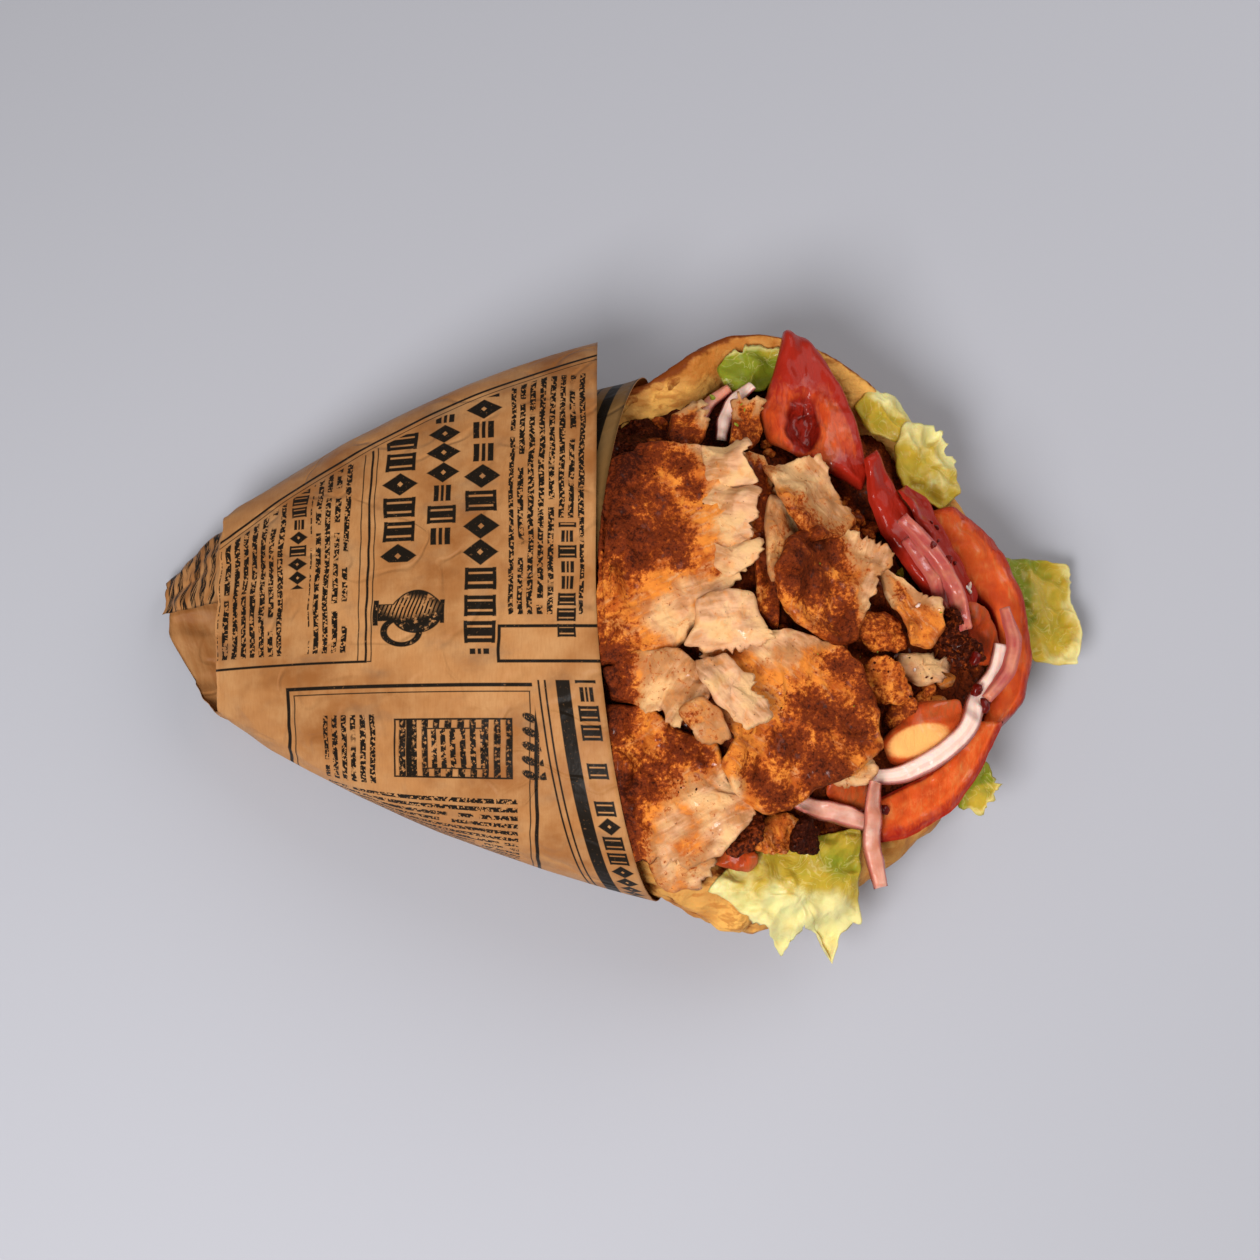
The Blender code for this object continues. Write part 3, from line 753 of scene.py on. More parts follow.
class Slice:
    """A slab of food laid on the place of a CAD piece, made as rings inside an outline.

    points and faces are its mesh. edge is each point's distance from the outline, torn how far it
    is on the torn side, and top is 1 on its upper face and 0 below.
    """

    def __init__(self, node, outline, thickness, torn=None, seed=0, spacing=0.6, rounding=3,
                 edge_width=2.0, teeth=0.8, wave=0.6, wave_size=9.0, lip=0.0, thinning=0.4,
                 wander=0.8):
        closed_line = np.vstack([outline, outline[:1]])
        around = int(np.hypot(*np.diff(closed_line, axis=0).T).sum() / spacing)
        rim = rounded(resampled(outline, around, True), rounding, True)
        centre = rim.mean(axis=0)
        torn_rim = self.torn_share(rim - centre, torn)
        tangent = np.roll(rim, -1, axis=0) - np.roll(rim, 1, axis=0)
        tangent /= np.linalg.norm(tangent, axis=1, keepdims=True)
        outward = np.column_stack([tangent[:, 1], -tangent[:, 0]])
        outward *= np.sign(np.sum(outward * (rim - centre), axis=1).mean())
        jagged = 1 - 2 * np.abs(flat_noise(rim[:, 0], rim[:, 1], TEETH_SIZE, seed, 3))
        jagged = jagged * np.clip(0.7 + 1.2 * flat_noise(rim[:, 0], rim[:, 1], 7.0, seed + 2, 1),
                                  0, 2)
        soft = flat_noise(rim[:, 0], rim[:, 1], 5.0, seed + 5, 3)
        rim = rim + outward * (wander * soft)[:, None]
        jags = outward * (teeth * torn_rim * jagged)[:, None]

        reach = np.linalg.norm(rim - centre, axis=1)
        rings = max(6, int(reach.mean() / spacing * 0.8))
        shares = 1 - (1 - np.linspace(0, 1, rings)[1:]) ** 1.25
        lower = shares[::-1][1::3]
        share = np.concatenate([shares, lower])
        side = np.concatenate([np.ones(len(shares)), -np.ones(len(lower))])
        side[len(shares) - 1] = 0
        plan = centre + share[:, None, None] * (rim - centre) + share[:, None, None] ** 8 * jags
        plan = np.vstack([plan.reshape(-1, 2), centre[None], centre[None]])
        self.side = np.concatenate([np.repeat(side, around), [1, -1]])
        self.top = (self.side >= 0).astype(float)
        self.edge = np.concatenate([((1 - share[:, None]) * reach).ravel(), [reach.min()] * 2])
        self.torn = np.concatenate([np.tile(torn_rim, len(share)), [0.5] * 2])

        x, y = plan.T
        thin = 1 - thinning * self.torn * (1 - ease(0, 7, self.edge))
        sharp = mix(edge_width, 0.35 * edge_width, self.torn)
        half = thickness / 2 * thin * edge_profile(self.edge, sharp)
        z = middle_height(node, x, y) + self.side * half
        z = z + wave * flat_noise(x, y, wave_size, seed + 11, 2)
        curl = np.tile(np.clip(flat_noise(rim[:, 0], rim[:, 1], 8.0, seed + 17, 2) + 0.3, 0, 1),
                       len(share))
        z = z + lip * self.torn * np.concatenate([curl, [0, 0]]) * np.exp(-(self.edge / 2.5) ** 2)
        self.points = np.column_stack([x, y, z])
        rows = len(share)
        last = rows * around
        i = np.arange(around)
        ahead = (i + 1) % around
        turn = 1 if self.signed_area(rim) > 0 else -1
        fans = [np.column_stack([i, ahead, np.full(around, last)]),
                np.column_stack([ahead + last - around, i + last - around,
                                 np.full(around, last + 1)])]
        quads = grid_faces(rows, around, closed=True)[:, ::-1]
        self.faces = [face[::turn].tolist() for face in quads]
        self.faces += [face[::turn].tolist() for fan in fans for face in fan]

    @staticmethod
    def torn_share(outward, torn):
        """1 on the side that faces the heading torn, in degrees, and 0 on the far side."""
        if torn is None:
            return np.full(len(outward), 0.35)
        heading = np.arctan2(outward[:, 1], outward[:, 0]) - math.radians(torn)
        return ease(0.0, 0.7, np.cos(heading))

    @staticmethod
    def signed_area(rim):
        x, y = rim.T
        return np.sum(x * np.roll(y, -1) - y * np.roll(x, -1)) / 2

    def raise_top(self, height):
        """Lifts the upper face by a height at each point, less towards the edge."""
        self.points[:, 2] += height * (self.side > 0) * edge_profile(self.edge, 1.2)


class Ribbon:
    """A strip of food between two lines in plan, laid on the place of a CAD piece.

    across runs from 0 on the first line to 1 on the second, and along from end to end.
    """

    def __init__(self, node, first, second, thickness, spacing=0.6, edge_width=1.5, wave=0.3,
                 seed=0, arch=0.0, rough=0.25):
        length = np.hypot(*np.diff(np.asarray(first, float), axis=0).T).sum()
        rows = int(length / spacing)
        lines = [rounded(resampled(line, rows), 6) for line in (first, second)]
        width = np.linalg.norm(lines[1] - lines[0], axis=1)
        columns = max(7, int(width.max() / spacing))
        there = np.linspace(0, 1, columns)
        across = np.concatenate([there, there[::-1]])
        side = np.concatenate([np.ones(columns), -np.ones(columns)])
        plan = lines[0][:, None] + across[:, None] * (lines[1] - lines[0])[:, None]
        along = np.linspace(0, 1, rows)
        to_side = np.minimum(across, 1 - across) * width[:, None]
        to_end = (np.minimum(along, 1 - along) * length)[:, None]
        self.edge = np.minimum(to_side, to_end).ravel()
        self.across = np.tile(across, rows)
        self.along = np.repeat(along, 2 * columns)
        self.side = np.tile(side, rows)
        self.top = (self.side > 0).astype(float)
        x, y = plan.reshape(-1, 2).T
        x = x + rough * flat_noise(x, y, 3.0, seed + 3, 2) * (1 - ease(0, 2, self.edge))
        z = middle_height(node, x, y) + wave * flat_noise(x, y, 6.0, seed, 2)
        z = z + arch * (1 - (2 * self.across - 1) ** 2)
        z = z + self.side * thickness / 2 * edge_profile(self.edge, edge_width)
        self.points = np.column_stack([x, y, z])
        quads = grid_faces(rows, 2 * columns, closed=True)
        a, b, c = self.points[quads[columns * rows // 2 * 2 + columns // 2][:3]]
        upwards = np.cross(b - a, c - a)[2] > 0
        self.faces = (quads if upwards else quads[:, ::-1]).tolist()

    def raise_top(self, height):
        self.points[:, 2] += height * (self.side > 0) * edge_profile(self.edge, 1.0)


def band_edges(path, width, taper=(1.0, 1.0)):
    """The two long edges of a band round a path: its width tapers to a share at either end."""
    path = rounded(resampled(path, 60), 20)
    tangent = np.gradient(path, axis=0)
    tangent /= np.linalg.norm(tangent, axis=1, keepdims=True)
    sideways = np.column_stack([-tangent[:, 1], tangent[:, 0]])
    t = np.linspace(0, 1, 60)
    narrowed = mix(taper[0], 1, ease(0, 0.3, t)) * mix(taper[1], 1, ease(1, 0.7, t))
    offset = sideways * (width / 2 * narrowed)[:, None]
    return path + offset, path - offset


def fine_mesh(node, voxel, rounds):
    """(points, faces, normals) of a CAD piece, remeshed in small even faces and smoothed."""
    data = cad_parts[node].data.copy()
    source = bpy.data.objects.new("source", data)
    bpy.context.scene.collection.objects.link(source)
    source.modifiers.new("weld", "WELD").merge_threshold = 0.02 * MM
    source.modifiers.new("subdivide", "SUBSURF").levels = 2
    remesh = source.modifiers.new("remesh", "REMESH")
    remesh.mode = "VOXEL"
    remesh.voxel_size = voxel * MM
    smoothing = source.modifiers.new("smooth", "SMOOTH")
    smoothing.iterations = rounds
    evaluated = source.evaluated_get(bpy.context.evaluated_depsgraph_get())
    mesh = evaluated.to_mesh()
    count = len(mesh.vertices)
    points, normals = np.empty(count * 3, np.float32), np.empty(count * 3, np.float32)
    mesh.vertices.foreach_get("co", points)
    mesh.vertex_normals.foreach_get("vector", normals)
    faces = np.empty(len(mesh.loops), np.int32)
    mesh.loops.foreach_get("vertex_index", faces)
    evaluated.to_mesh_clear()
    bpy.data.objects.remove(source)
    return points.reshape(-1, 3) / MM - DESIGN_TO_PART, faces.reshape(-1, 4), normals.reshape(-1, 3)


def bumped(points, normals, bumps):
    """Points moved along their normals by layers of noise: (size, depth, seed) each."""
    for size, depth, seed in bumps:
        points = points + normals * (depth * noise(points, size, seed))[:, None]
    return points


# ---------------------------------------------------------------- bread and core

BREAD_PALE = (0.62, 0.30, 0.075)
BREAD_GOLD = (0.46, 0.155, 0.026)
BREAD_TOAST = (0.19, 0.040, 0.006)
BREAD_CRUMB = (0.88, 0.45, 0.105)

# The fold of bread along the high rim: its outer line in plan with its height, and its inner line.
FOLD_OUTER = ((-6, 49.5), (-2, 51.5), (4, 54), (10, 57.5), (16, 61.8), (22, 64.8), (30, 65.4),
              (39.5, 63.5), (48, 60), (55.5, 54.5), (62, 47), (66, 41))
FOLD_LEVEL = (38.3, 38.4, 38.8, 38.9, 38.8, 38.6, 37.8, 36.4, 34.2, 31.5, 28.0, 24.5)
FOLD_INNER = ((-6, 41), (3, 42), (10, 45), (16, 49.5), (23, 55), (30, 56), (37, 53.5), (43, 49),
              (48, 44.5), (54, 39), (60, 35))
FOLD_THICKNESS = 4.0
FOLD_DROP = 7.0         # how far the fold's inner line lies below its outer one

def bread_material():
    look = Look("bread")
    pale, toasted, _ = look.painted("look")
    broad = look.noise(14.0, 3.0)
    patches_of_heat = look.noise(5.0, 5.0, distortion=0.8)
    fibres = look.noise(2.2, 4.0, stretch=(2.0, 0.8, 0.8), distortion=0.6)
    fine = look.noise(0.8, 4.0)
    colour = look.blend((broad * 0.6 + patches_of_heat * 0.4).ramp(0.42, 0.6), BREAD_PALE,
                        BREAD_GOLD)
    colour = look.blend((pale + (patches_of_heat - 0.5)).ramp(0.3, 0.8, 0.0, 0.9), colour,
                        BREAD_CRUMB)
    colour = look.blend(fibres.ramp(0.5, 0.66, 0.0, 0.7), colour, BREAD_GOLD)
    heat = patches_of_heat * 0.5 + fibres * 0.3 + fine * 0.2 + toasted * 0.45
    colour = look.blend(heat.ramp(0.62, 0.86), colour, BREAD_TOAST)
    normal = look.bump(look.noise(3.0, 4.0), 0.8)
    normal = look.bump(fibres, 0.35, normal)
    normal = look.bump(fine, 0.15, normal)
    return look.done(Base_Color=colour, Roughness=broad.ramp(0.4, 0.6, 0.6, 0.4),
                     Normal=normal, Subsurface_Weight=0.08, Subsurface_Scale=0.002,
                     Specular_IOR_Level=0.06)


def add_bread():
    material = bread_material()
    points, faces, normals = fine_mesh("flatbread", 1.0, 8)
    points = bumped(points, normals, ((9.0, 0.8, 3), (3.5, 0.35, 4)))
    x, y, z = points.T
    lip = ease(-48, -56, y) * ease(-2, 8, x) * ease(34, 24, x) * ease(16, 27, z)
    domes = np.abs(noise(points, 9.0, 12, 3))
    points = points + normals * (lip * (0.2 + 3.2 * domes))[:, None]
    points[:, 2] = np.maximum(points[:, 2], 0.6)
    bread = add_piece("bread", points, faces, material, ("flatbread",))
    rim = ease(24, 34, points[:, 2])
    # painted light and shade on the lip: its domes paler on top, less so towards the left, and toasted
    # in the creases between them
    lip_painted_shade = lip * ease(0.3, 0.05, domes)
    lip_painted_light = lip * (0.2 + 1.5 * domes) * (1 - 0.6 * ease(25, 15, x))
    paint(bread, "look", np.maximum(lip_painted_light, 0.2 * rim),
          np.maximum(0.5 * rim * (1 - lip), 0.8 * lip_painted_shade))

    fold = Ribbon("flatbread", FOLD_OUTER, FOLD_INNER, FOLD_THICKNESS, edge_width=2.5, seed=90,
                  wave=0.5, rough=0.6)
    x, y, _ = fold.points.T
    length = np.concatenate([[0], np.cumsum(np.hypot(*np.diff(np.array(FOLD_OUTER), axis=0).T))])
    level = np.interp(fold.along, length / length[-1], FOLD_LEVEL)
    creases_down = 1.0 * flat_noise(x, y, 7.0, 91, 4) + 0.5 * flat_noise(x, y, 2.2, 92)
    fold.points[:, 2] += level - middle_height("flatbread", x, y) - 0.5 * FOLD_THICKNESS
    fold.points[:, 2] -= FOLD_DROP * fold.across ** 1.4
    fold.raise_top(creases_down)
    made = add_piece("bread_fold", fold.points, fold.faces, material, ())
    crease = flat_noise(x, y, 5.0, 93)
    # painted light: the fold's right end is paler and less burnt, where the tomato's shadow falls on it
    fold_painted_light = 0.6 * ease(36, 46, x)
    browner = ease(28, 16, x)
    burnt_rim = ease(0.1 + 0.22 * browner, 0.03, fold.across) * (0.6 + 0.3 * browner)
    burnt_rim += 0.25 * ease(0.5, 0.0, fold.across) * (1 - fold_painted_light)
    paint(made, "look", ease(0.05, 0.45, fold.across) * (0.5 + 0.5 * crease) + fold_painted_light,
          burnt_rim + 0.9 * ease(0.7, 1.0, fold.across))


def add_core(material):
    points, faces, normals = fine_mesh("filling_core", 0.9, 6)
    upper = ease(0.0, 0.5, normals[:, 2])
    shredded = (1 - np.abs(noise(points * (1, 0.6, 1), 5.0, 21))) * 2.2 - 1.2
    points = points + normals * (upper * 1.3 * shredded)[:, None]
    points = bumped(points, normals, ((1.8, 0.4, 22),))
    x, y, z = points.T
    behind = np.maximum(8.0 * ease(44, 54, y) * ease(60, 30, x),
                        5.0 * ease(36, 43, y) * ease(24, 10, x))
    points[:, 2] -= behind * upper * ease(20, 30, z)
    core = add_piece("filling", points, faces, material, ("filling_core",))
    grain_uv(core, points[:, 0], points[:, 1], 70.0)
    # painted shade: the filling under the bread's fold is browner and more charred
    shaded = 0.5 * ease(30, 38, y) * ease(34, 26, x)
    paint(core, "look", 0.8 + 0.2 * noise(points, 6.0, 8) + shaded, 0.05, 0.25 + shaded)


# ---------------------------------------------------------------- chicken

CHICKEN_CREAM = (0.80, 0.475, 0.215)
CHICKEN_PINK = (0.80, 0.44, 0.25)
CHICKEN_TAN = (0.42, 0.17, 0.048)
CHICKEN_GOLD = (0.78, 0.25, 0.036)
CHICKEN_AMBER = (0.44, 0.085, 0.010)
CHICKEN_BROWN = (0.17, 0.026, 0.005)
CHICKEN_DARK = (0.040, 0.006, 0.002)

# Where the slices are browned and where their pale flesh shows: (x, y, radius) in plan.
BROWNED = ((4, 32, 8), (11, 30, 6), (6, 21, 6), (13, 24, 5), (7, 13, 8), (3, 8, 5), (11, 8, 4),
           (17, 30, 3), (46, -12, 6), (52, -17, 6), (41, -24, 8), (47, -27, 7), (33, -31, 6),
           (40, -35, 7), (27, -38, 5), (6, -38, 7), (0, -39, 4), (11, -31, 6), (15, -34, 4),
           (40, 13, 9), (36, 6, 8), (40, 21, 5), (47, -5, 7), (57.5, 6, 3.5), (31, -41, 5),
           (19, 6, 3), (15, -55, 3.5))
PALE = ((19, 31, 6), (21, 24, 6), (21, 16, 7), (13, 1, 6), (10, -5, 8), (22, 1, 8),
        (-3, -8, 5), (15, -42, 8), (19, -47, 8), (10, -47, 7), (21, -41, 5), (33, -10, 6),
        (28, -11, 5), (38, 28, 6), (43, 22, 6), (53, 4, 5), (51, 12, 5), (5, -52, 6))

# The slices: outline in plan, thickness, heading of the torn side, heading of the grain, and how
# browned and how pale the whole slice is.
SLICES = {
    # chicken_low_back and chicken_low_left are browned partly as painted shade: they lie in the shade
    # under the bread's fold
    "chicken_low_back": (((23, 48), (28, 48), (29, 40), (26, 35), (21, 36)), 3.5, 100, 80, 0.9, 0.1),
    "chicken_low_left": (((9, 44), (15, 46), (17, 38), (12, 34), (8, 37)), 3.5, 60, 80, 1.0, 0.1),
    "chicken_front": (((3, -50), (8, -51), (13, -53), (18, -54), (14, -59), (9, -60.5), (5, -58)),
                      4, 20, 20, 0.3, 0.4),
    "chicken_right": (((54, 11), (59, 8), (66, 2), (68, -3), (65, -8), (60, -7), (59, -1),
                       (55, 4)), 4.5, 60, -50, 0.4, 0.25),
    "chicken_right_light": (((58, -8), (64, -7), (70, -9), (68, -13), (63, -14), (58, -12)),
                            4, 0, 0, 0.1, 0.7),
    "chicken_edge_low": (((38, -29), (46, -29), (53, -34), (50, -38), (41, -37)), 4, 300, 0, 0.5,
                         0.3),
    "chicken_strip": (((23, 33), (29, 33), (31, 25), (32, 13), (32, 4), (31, -6), (27, -4), (26, 6),
                       (25, 17)), 4.5, 90, 90, 1.1, 0.0),
    "chicken_leaf": (((30, 24), (34, 22), (37, 17), (36, 13), (32, 9), (30, 3), (29, 9), (28, 16)),
                     3.5, 20, 75, 0.4, 0.6),
    "chicken_large_left": (((-6, -22), (2, -22), (10, -26), (18, -30), (20, -37), (26, -43),
                            (22, -50), (19, -54), (10, -56), (1, -54), (-5, -51), (-6, -38)),
                           5, -50, 30, 0.3, 0.0),
    "chicken_large_front": (((16, -10), (24, -8), (34, -6), (43, -8), (50, -12), (53, -22),
                             (54, -30), (48, -36), (39, -39), (34, -44), (28, -45), (21, -41),
                             (19, -35), (22, -29), (17, -22)), 5, 120, -35, 0.35, 0.0),
    "chicken_centre": (((32, 12), (38, 16), (47, 17), (57, 12), (53, 7), (51, 1), (48, -8),
                        (43, -9), (36, -5), (31, 0), (30, 6)), 5, 10, 70, 0.55, 0.1),
    "chicken_top": (((28, 31), (34, 32), (41, 33), (44, 27), (49, 20), (45, 14), (38, 12), (34, 19),
                     (31, 24)), 4, 60, -50, 0.7, 0.45),
    "chicken_large_top": (((-7, 24), (-5, 31), (2, 35), (14, 35), (25, 34), (22, 29), (27, 25),
                           (24, 21), (25, 16), (26, 8), (23, 4), (18, 0), (10, -11), (2, -14),
                           (-7, -15)), 5, 15, 25, 0.25, 0.0),
    "chicken_flap": (((14, -1), (19, 2), (26, 1), (28, -4), (31, -9), (24, -11), (18, -12),
                      (11, -11)), 3, -80, 10, 0.0, 0.75),
    "chicken_tan_left": (((-6, -15), (2, -12), (10, -11), (15, -15), (17, -21), (13, -26), (9, -27),
                          (2, -23), (-4, -22)), 3.5, -60, 60, 0.6, 0.75),
    "chicken_white_strip": (((13, -14), (20, -12), (25, -19), (29, -26), (24, -28), (18, -24),
                             (15, -19)), 3, -20, -45, 0.0, 1.0),
    "chicken_tan_low": (((10, -25), (15, -22), (19, -25), (21, -31), (15, -32)), 3, -80, -50, 0.6,
                        0.6),
}

# Glossy chunks and charred bits, remeshed from their CAD pieces: how browned, how charred.
CHUNKS = {
    "chicken_chunk_high": (0.75, 0.0),
    "chicken_chunk_low": (0.6, 0.0),
    "chicken_chunk_front": (0.55, 0.0),
    "chicken_right_char": (1.1, 0.8),
    "chicken_char_front": (1.2, 1.0),
    "chicken_char_low": (1.2, 0.6),
}


def patches(spots, x, y):
    """1 in the middle of each round patch, 0 outside them all, with uneven edges."""
    wandering = 1.0 + 0.5 * flat_noise(x, y, 5.0, 77)
    share = np.zeros(len(x))
    for spot_x, spot_y, radius in spots:
        distance = np.hypot(x - spot_x, y - spot_y) / (radius * np.clip(wandering, 0.4, 2))
        share = np.maximum(share, 1 - ease(0.15, 1.35, distance))
    return share


def chicken_material():
    look = Look("chicken")
    crust, pale, char = look.painted("look")
    crust = crust * 1.5
    along, across = look.uv("grain")
    strands = look.noise(1.3, 4.0, at=look.vector(along / 5.0, across), distortion=0.5)
    broad = look.noise(7.0, 3.0)
    middle = look.noise(2.6, 4.0, distortion=0.8)
    fine = look.noise(1.0, 6.0, roughness=0.75)
    speck = look.noise(0.4, 2.0)
    flesh = look.blend(broad.ramp(0.4, 0.6), CHICKEN_CREAM, CHICKEN_PINK)
    tanned = strands * 0.35 + broad * 0.65 + crust * 0.45
    flesh = look.blend(tanned.ramp(0.46, 0.68, 0.0, 0.85), flesh, CHICKEN_TAN)
    flesh = look.blend(middle.ramp(0.5, 0.7, 0.0, 0.4), flesh, CHICKEN_GOLD)
    gold = look.blend((broad * 0.4 + strands * 0.3 + middle * 0.3).ramp(0.42, 0.6), CHICKEN_GOLD,
                      CHICKEN_AMBER)
    flecks = (strands * 0.6 + fine * 0.4).ramp(0.5, 0.64, 0.0, 0.55)
    gold = look.blend(flecks, gold, CHICKEN_CREAM)
    colour = look.blend((pale + (middle - 0.5) * 1.1).ramp(0.2, 0.8), gold, flesh)
    browned = crust + (fine - 0.5) * 2.8 + (middle - 0.5) * 1.0
    colour = look.blend(browned.ramp(0.35, 0.75), colour, CHICKEN_AMBER)
    colour = look.blend(browned.ramp(0.55, 1.0), colour, CHICKEN_BROWN)
    colour = look.blend((browned + (speck - 0.5)).ramp(1.0, 1.7), colour, CHICKEN_DARK)
    grains = look.cells(0.9)
    burnt = char * 0.8 + (fine - 0.5) * 1.8 - (grains - 0.45) * 0.8
    colour = look.blend(burnt.ramp(0.3, 0.6), colour, CHICKEN_DARK)
    normal = look.bump(middle, 0.35)
    normal = look.bump(strands, 0.11, normal)
    normal = look.bump(fine, 0.25, normal)
    normal = look.bump(grains * char, 0.7, normal)
    wet = (look.noise(4.0, 2.0) * 0.5 + middle * 0.5).ramp(0.57, 0.62, 0.0, 0.6)
    wet = wet * browned.ramp(0.5, 0.9, 1.0, 0.35)
    return look.done(Base_Color=colour, Roughness=0.55, Normal=normal, Subsurface_Weight=0.06,
                     Subsurface_Scale=0.002, Specular_IOR_Level=0.05, Coat_Weight=wet,
                     Coat_Roughness=0.12)


def grain_uv(piece, x, y, heading):
    """Keeps each point's place along and across the grain of the meat, in mm."""
    a = math.radians(heading)
    set_uv(piece, "grain", x * math.cos(a) + y * math.sin(a), y * math.cos(a) - x * math.sin(a))


# Thin sheets that peel off the large top slice: outline in plan and heading of the torn side.
SHEETS = (
    (((15, 34.5), (24.8, 34.7), (23.7, 31.1), (27, 25.8), (26.1, 24.5), (15.5, 25)), 0),
    (((16.8, 24.8), (26.1, 24.5), (28, 23.2), (26.1, 19.5), (25.7, 16.5), (25, 13), (20.4, 13.4),
      (16.8, 16.9), (15, 21.3)), -10),
    (((15.9, 13), (20.4, 12), (23.9, 12), (27, 11.5), (27.4, 8), (25.7, 5.8), (20.9, 4.1),
      (17.5, 6.5)), -30),
)
SHEET_LIFT = 2.9        # from the middle of the slice to that of a sheet on it


def add_slice(node, seed, values, material, paper):
    outline, thickness, torn, grain, browned, pale = values
    piece = Slice(node, outline, thickness, torn, seed * 13, spacing=0.45, edge_width=1.2,
                  lip=1.3, teeth=1.2, thinning=0.65)
    x, y, _ = piece.points.T
    # partly real browning and partly painted shadow: the slices are browner and less pale along the
    # paper's mouth, where its standing edge shades them
    browning_and_paper_shadow = ease(5, -3, x - 4 * ease(-35, -58, y))
    browning_and_paper_shadow *= 1 - 0.75 * np.exp(-(y / 9) ** 2) - 0.5 * np.exp(-((y + 33) / 5) ** 2)
    crust = browned + patches(BROWNED, x, y) * 0.82 + 1.1 * browning_and_paper_shadow
    flesh = pale + 0.8 * patches(PALE, x, y) + 0.8 * piece.torn * (1 - ease(0.5, 4, piece.edge))
    flesh = np.clip(flesh, 0, 1) * (1 - 0.7 * browning_and_paper_shadow)
    wrinkles = 1 - np.abs(noise(piece.points * (1.0, 0.45, 1.0), 4.5, seed + 40, 3))
    depth = 1.4 - 1.1 * flesh
    piece.raise_top(depth * (wrinkles - 0.75) + 0.3 * flat_noise(x, y, 1.6, seed, 2))
    points = under_paper(piece.points, paper, thickness * (1 - piece.top))
    made = add_piece(node + "_slice", points, piece.faces, material, (node,))
    grain_uv(made, x, y, grain)
    # painted shade: the underside of each slice is browner, to darken the gaps under the slices' edges
    paint(made, "look", (crust * (1 - 0.8 * flesh) + 0.5 * (1 - piece.top)) / 1.5, flesh)


def add_sheet(seed, outline, torn, material):
    sheet = Slice("chicken_large_top", outline, 1.0, torn, seed + 300, spacing=0.4, edge_width=0.8,
                  lip=0.8, teeth=1.1, wave=0.4, wave_size=7.0, thinning=0.5)
    x, y, _ = sheet.points.T
    sheet.points[:, 2] += SHEET_LIFT - 1.6 * (1 - sheet.torn) * (1 - ease(0, 3, sheet.edge))
    sheet.points[:, 2] += 0.5 * flat_noise(x, y, 5.0, seed + 310, 2)
    made = add_piece(f"chicken_sheet_{seed}", sheet.points, sheet.faces, material, ())
    grain_uv(made, x, y, torn)
    paint(made, "look", 0.1 * (1 - sheet.torn), 1.0)


def add_chicken(material, paper):
    for seed, (node, values) in enumerate(SLICES.items()):
        add_slice(node, seed, values, material, paper)
    for seed, (outline, torn) in enumerate(SHEETS):
        add_sheet(seed, outline, torn, material)
    for seed, (node, (browned, char)) in enumerate(CHUNKS.items()):
        points, faces, normals = fine_mesh(node, 0.45, 5)
        points = bumped(points, normals, ((3.5, 0.9, seed), (1.2, 0.35 + 0.3 * char, seed + 9)))
        made = add_piece(node + "_lump", points, faces, material, (node,))
        grain_uv(made, points[:, 0], points[:, 1], 60.0 * seed)
        paint(made, "look", browned / 1.5, 0.1, char)


# ---------------------------------------------------------------- tomato

TOMATO_SKIN = (0.34, 0.016, 0.006)
TOMATO_FLESH = (0.68, 0.095, 0.015)
TOMATO_PALE = (0.66, 0.22, 0.055)
# colour of a painted sheen on the tomato
TOMATO_PAINTED_SHEEN = (0.62, 0.20, 0.15)
TOMATO_WET = (0.11, 0.003, 0.001)
TOMATO_PEACH = (0.96, 0.44, 0.13)


def tomato_material():
    look = Look("tomato")
    skin, cavity, peach = look.painted("look")
    broad = look.noise(7.0, 3.0)
    streaks = look.noise(1.6, 4.0, stretch=(0.8, 2.5, 1.0), distortion=1.0)
    fine = look.noise(0.6, 3.0)
    colour = look.blend((broad * 0.5 + streaks * 0.5).ramp(0.45, 0.7, 0.0, 0.8), TOMATO_FLESH,
                        TOMATO_PALE)
    sheen = look.noise(5.0, 4.0, stretch=(0.5, 1.4, 1.0), distortion=0.6)
    colour = look.blend(broad.ramp(0.55, 0.3, 0.0, 0.5), colour, TOMATO_SKIN)
    colour = look.blend((cavity + (streaks - 0.5) * 0.3).ramp(0.1, 0.55), colour, TOMATO_WET)
    colour = look.blend((peach + (fine - 0.5) * 0.3).ramp(0.3, 0.8), colour, TOMATO_PEACH)
    colour = look.blend((skin + (streaks - 0.5) * 0.8).ramp(0.25, 0.75), colour, TOMATO_SKIN)
    # painted sheen: a rose tint in streaks where the flesh is partly red, standing in for a soft
    # reflection
    painted_sheen = sheen.ramp(0.5, 0.68, 0.0, 0.18) * skin.ramp(0.2, 0.4) * skin.ramp(0.9, 0.6)
    colour = look.blend(painted_sheen * cavity.inverted(), colour, TOMATO_PAINTED_SHEEN)
    normal = look.bump(streaks, 0.25)
    normal = look.bump(fine, 0.05, normal)
    wet = broad.ramp(0.5, 0.62, 0.0, 0.6).higher(cavity * 0.5).higher(skin * 0.2)
    return look.done(Base_Color=colour, Roughness=0.45, Normal=normal, Subsurface_Weight=0.15,
                     Subsurface_Scale=0.003, Specular_IOR_Level=0.06, Coat_Weight=wet,
                     Coat_Roughness=0.08)


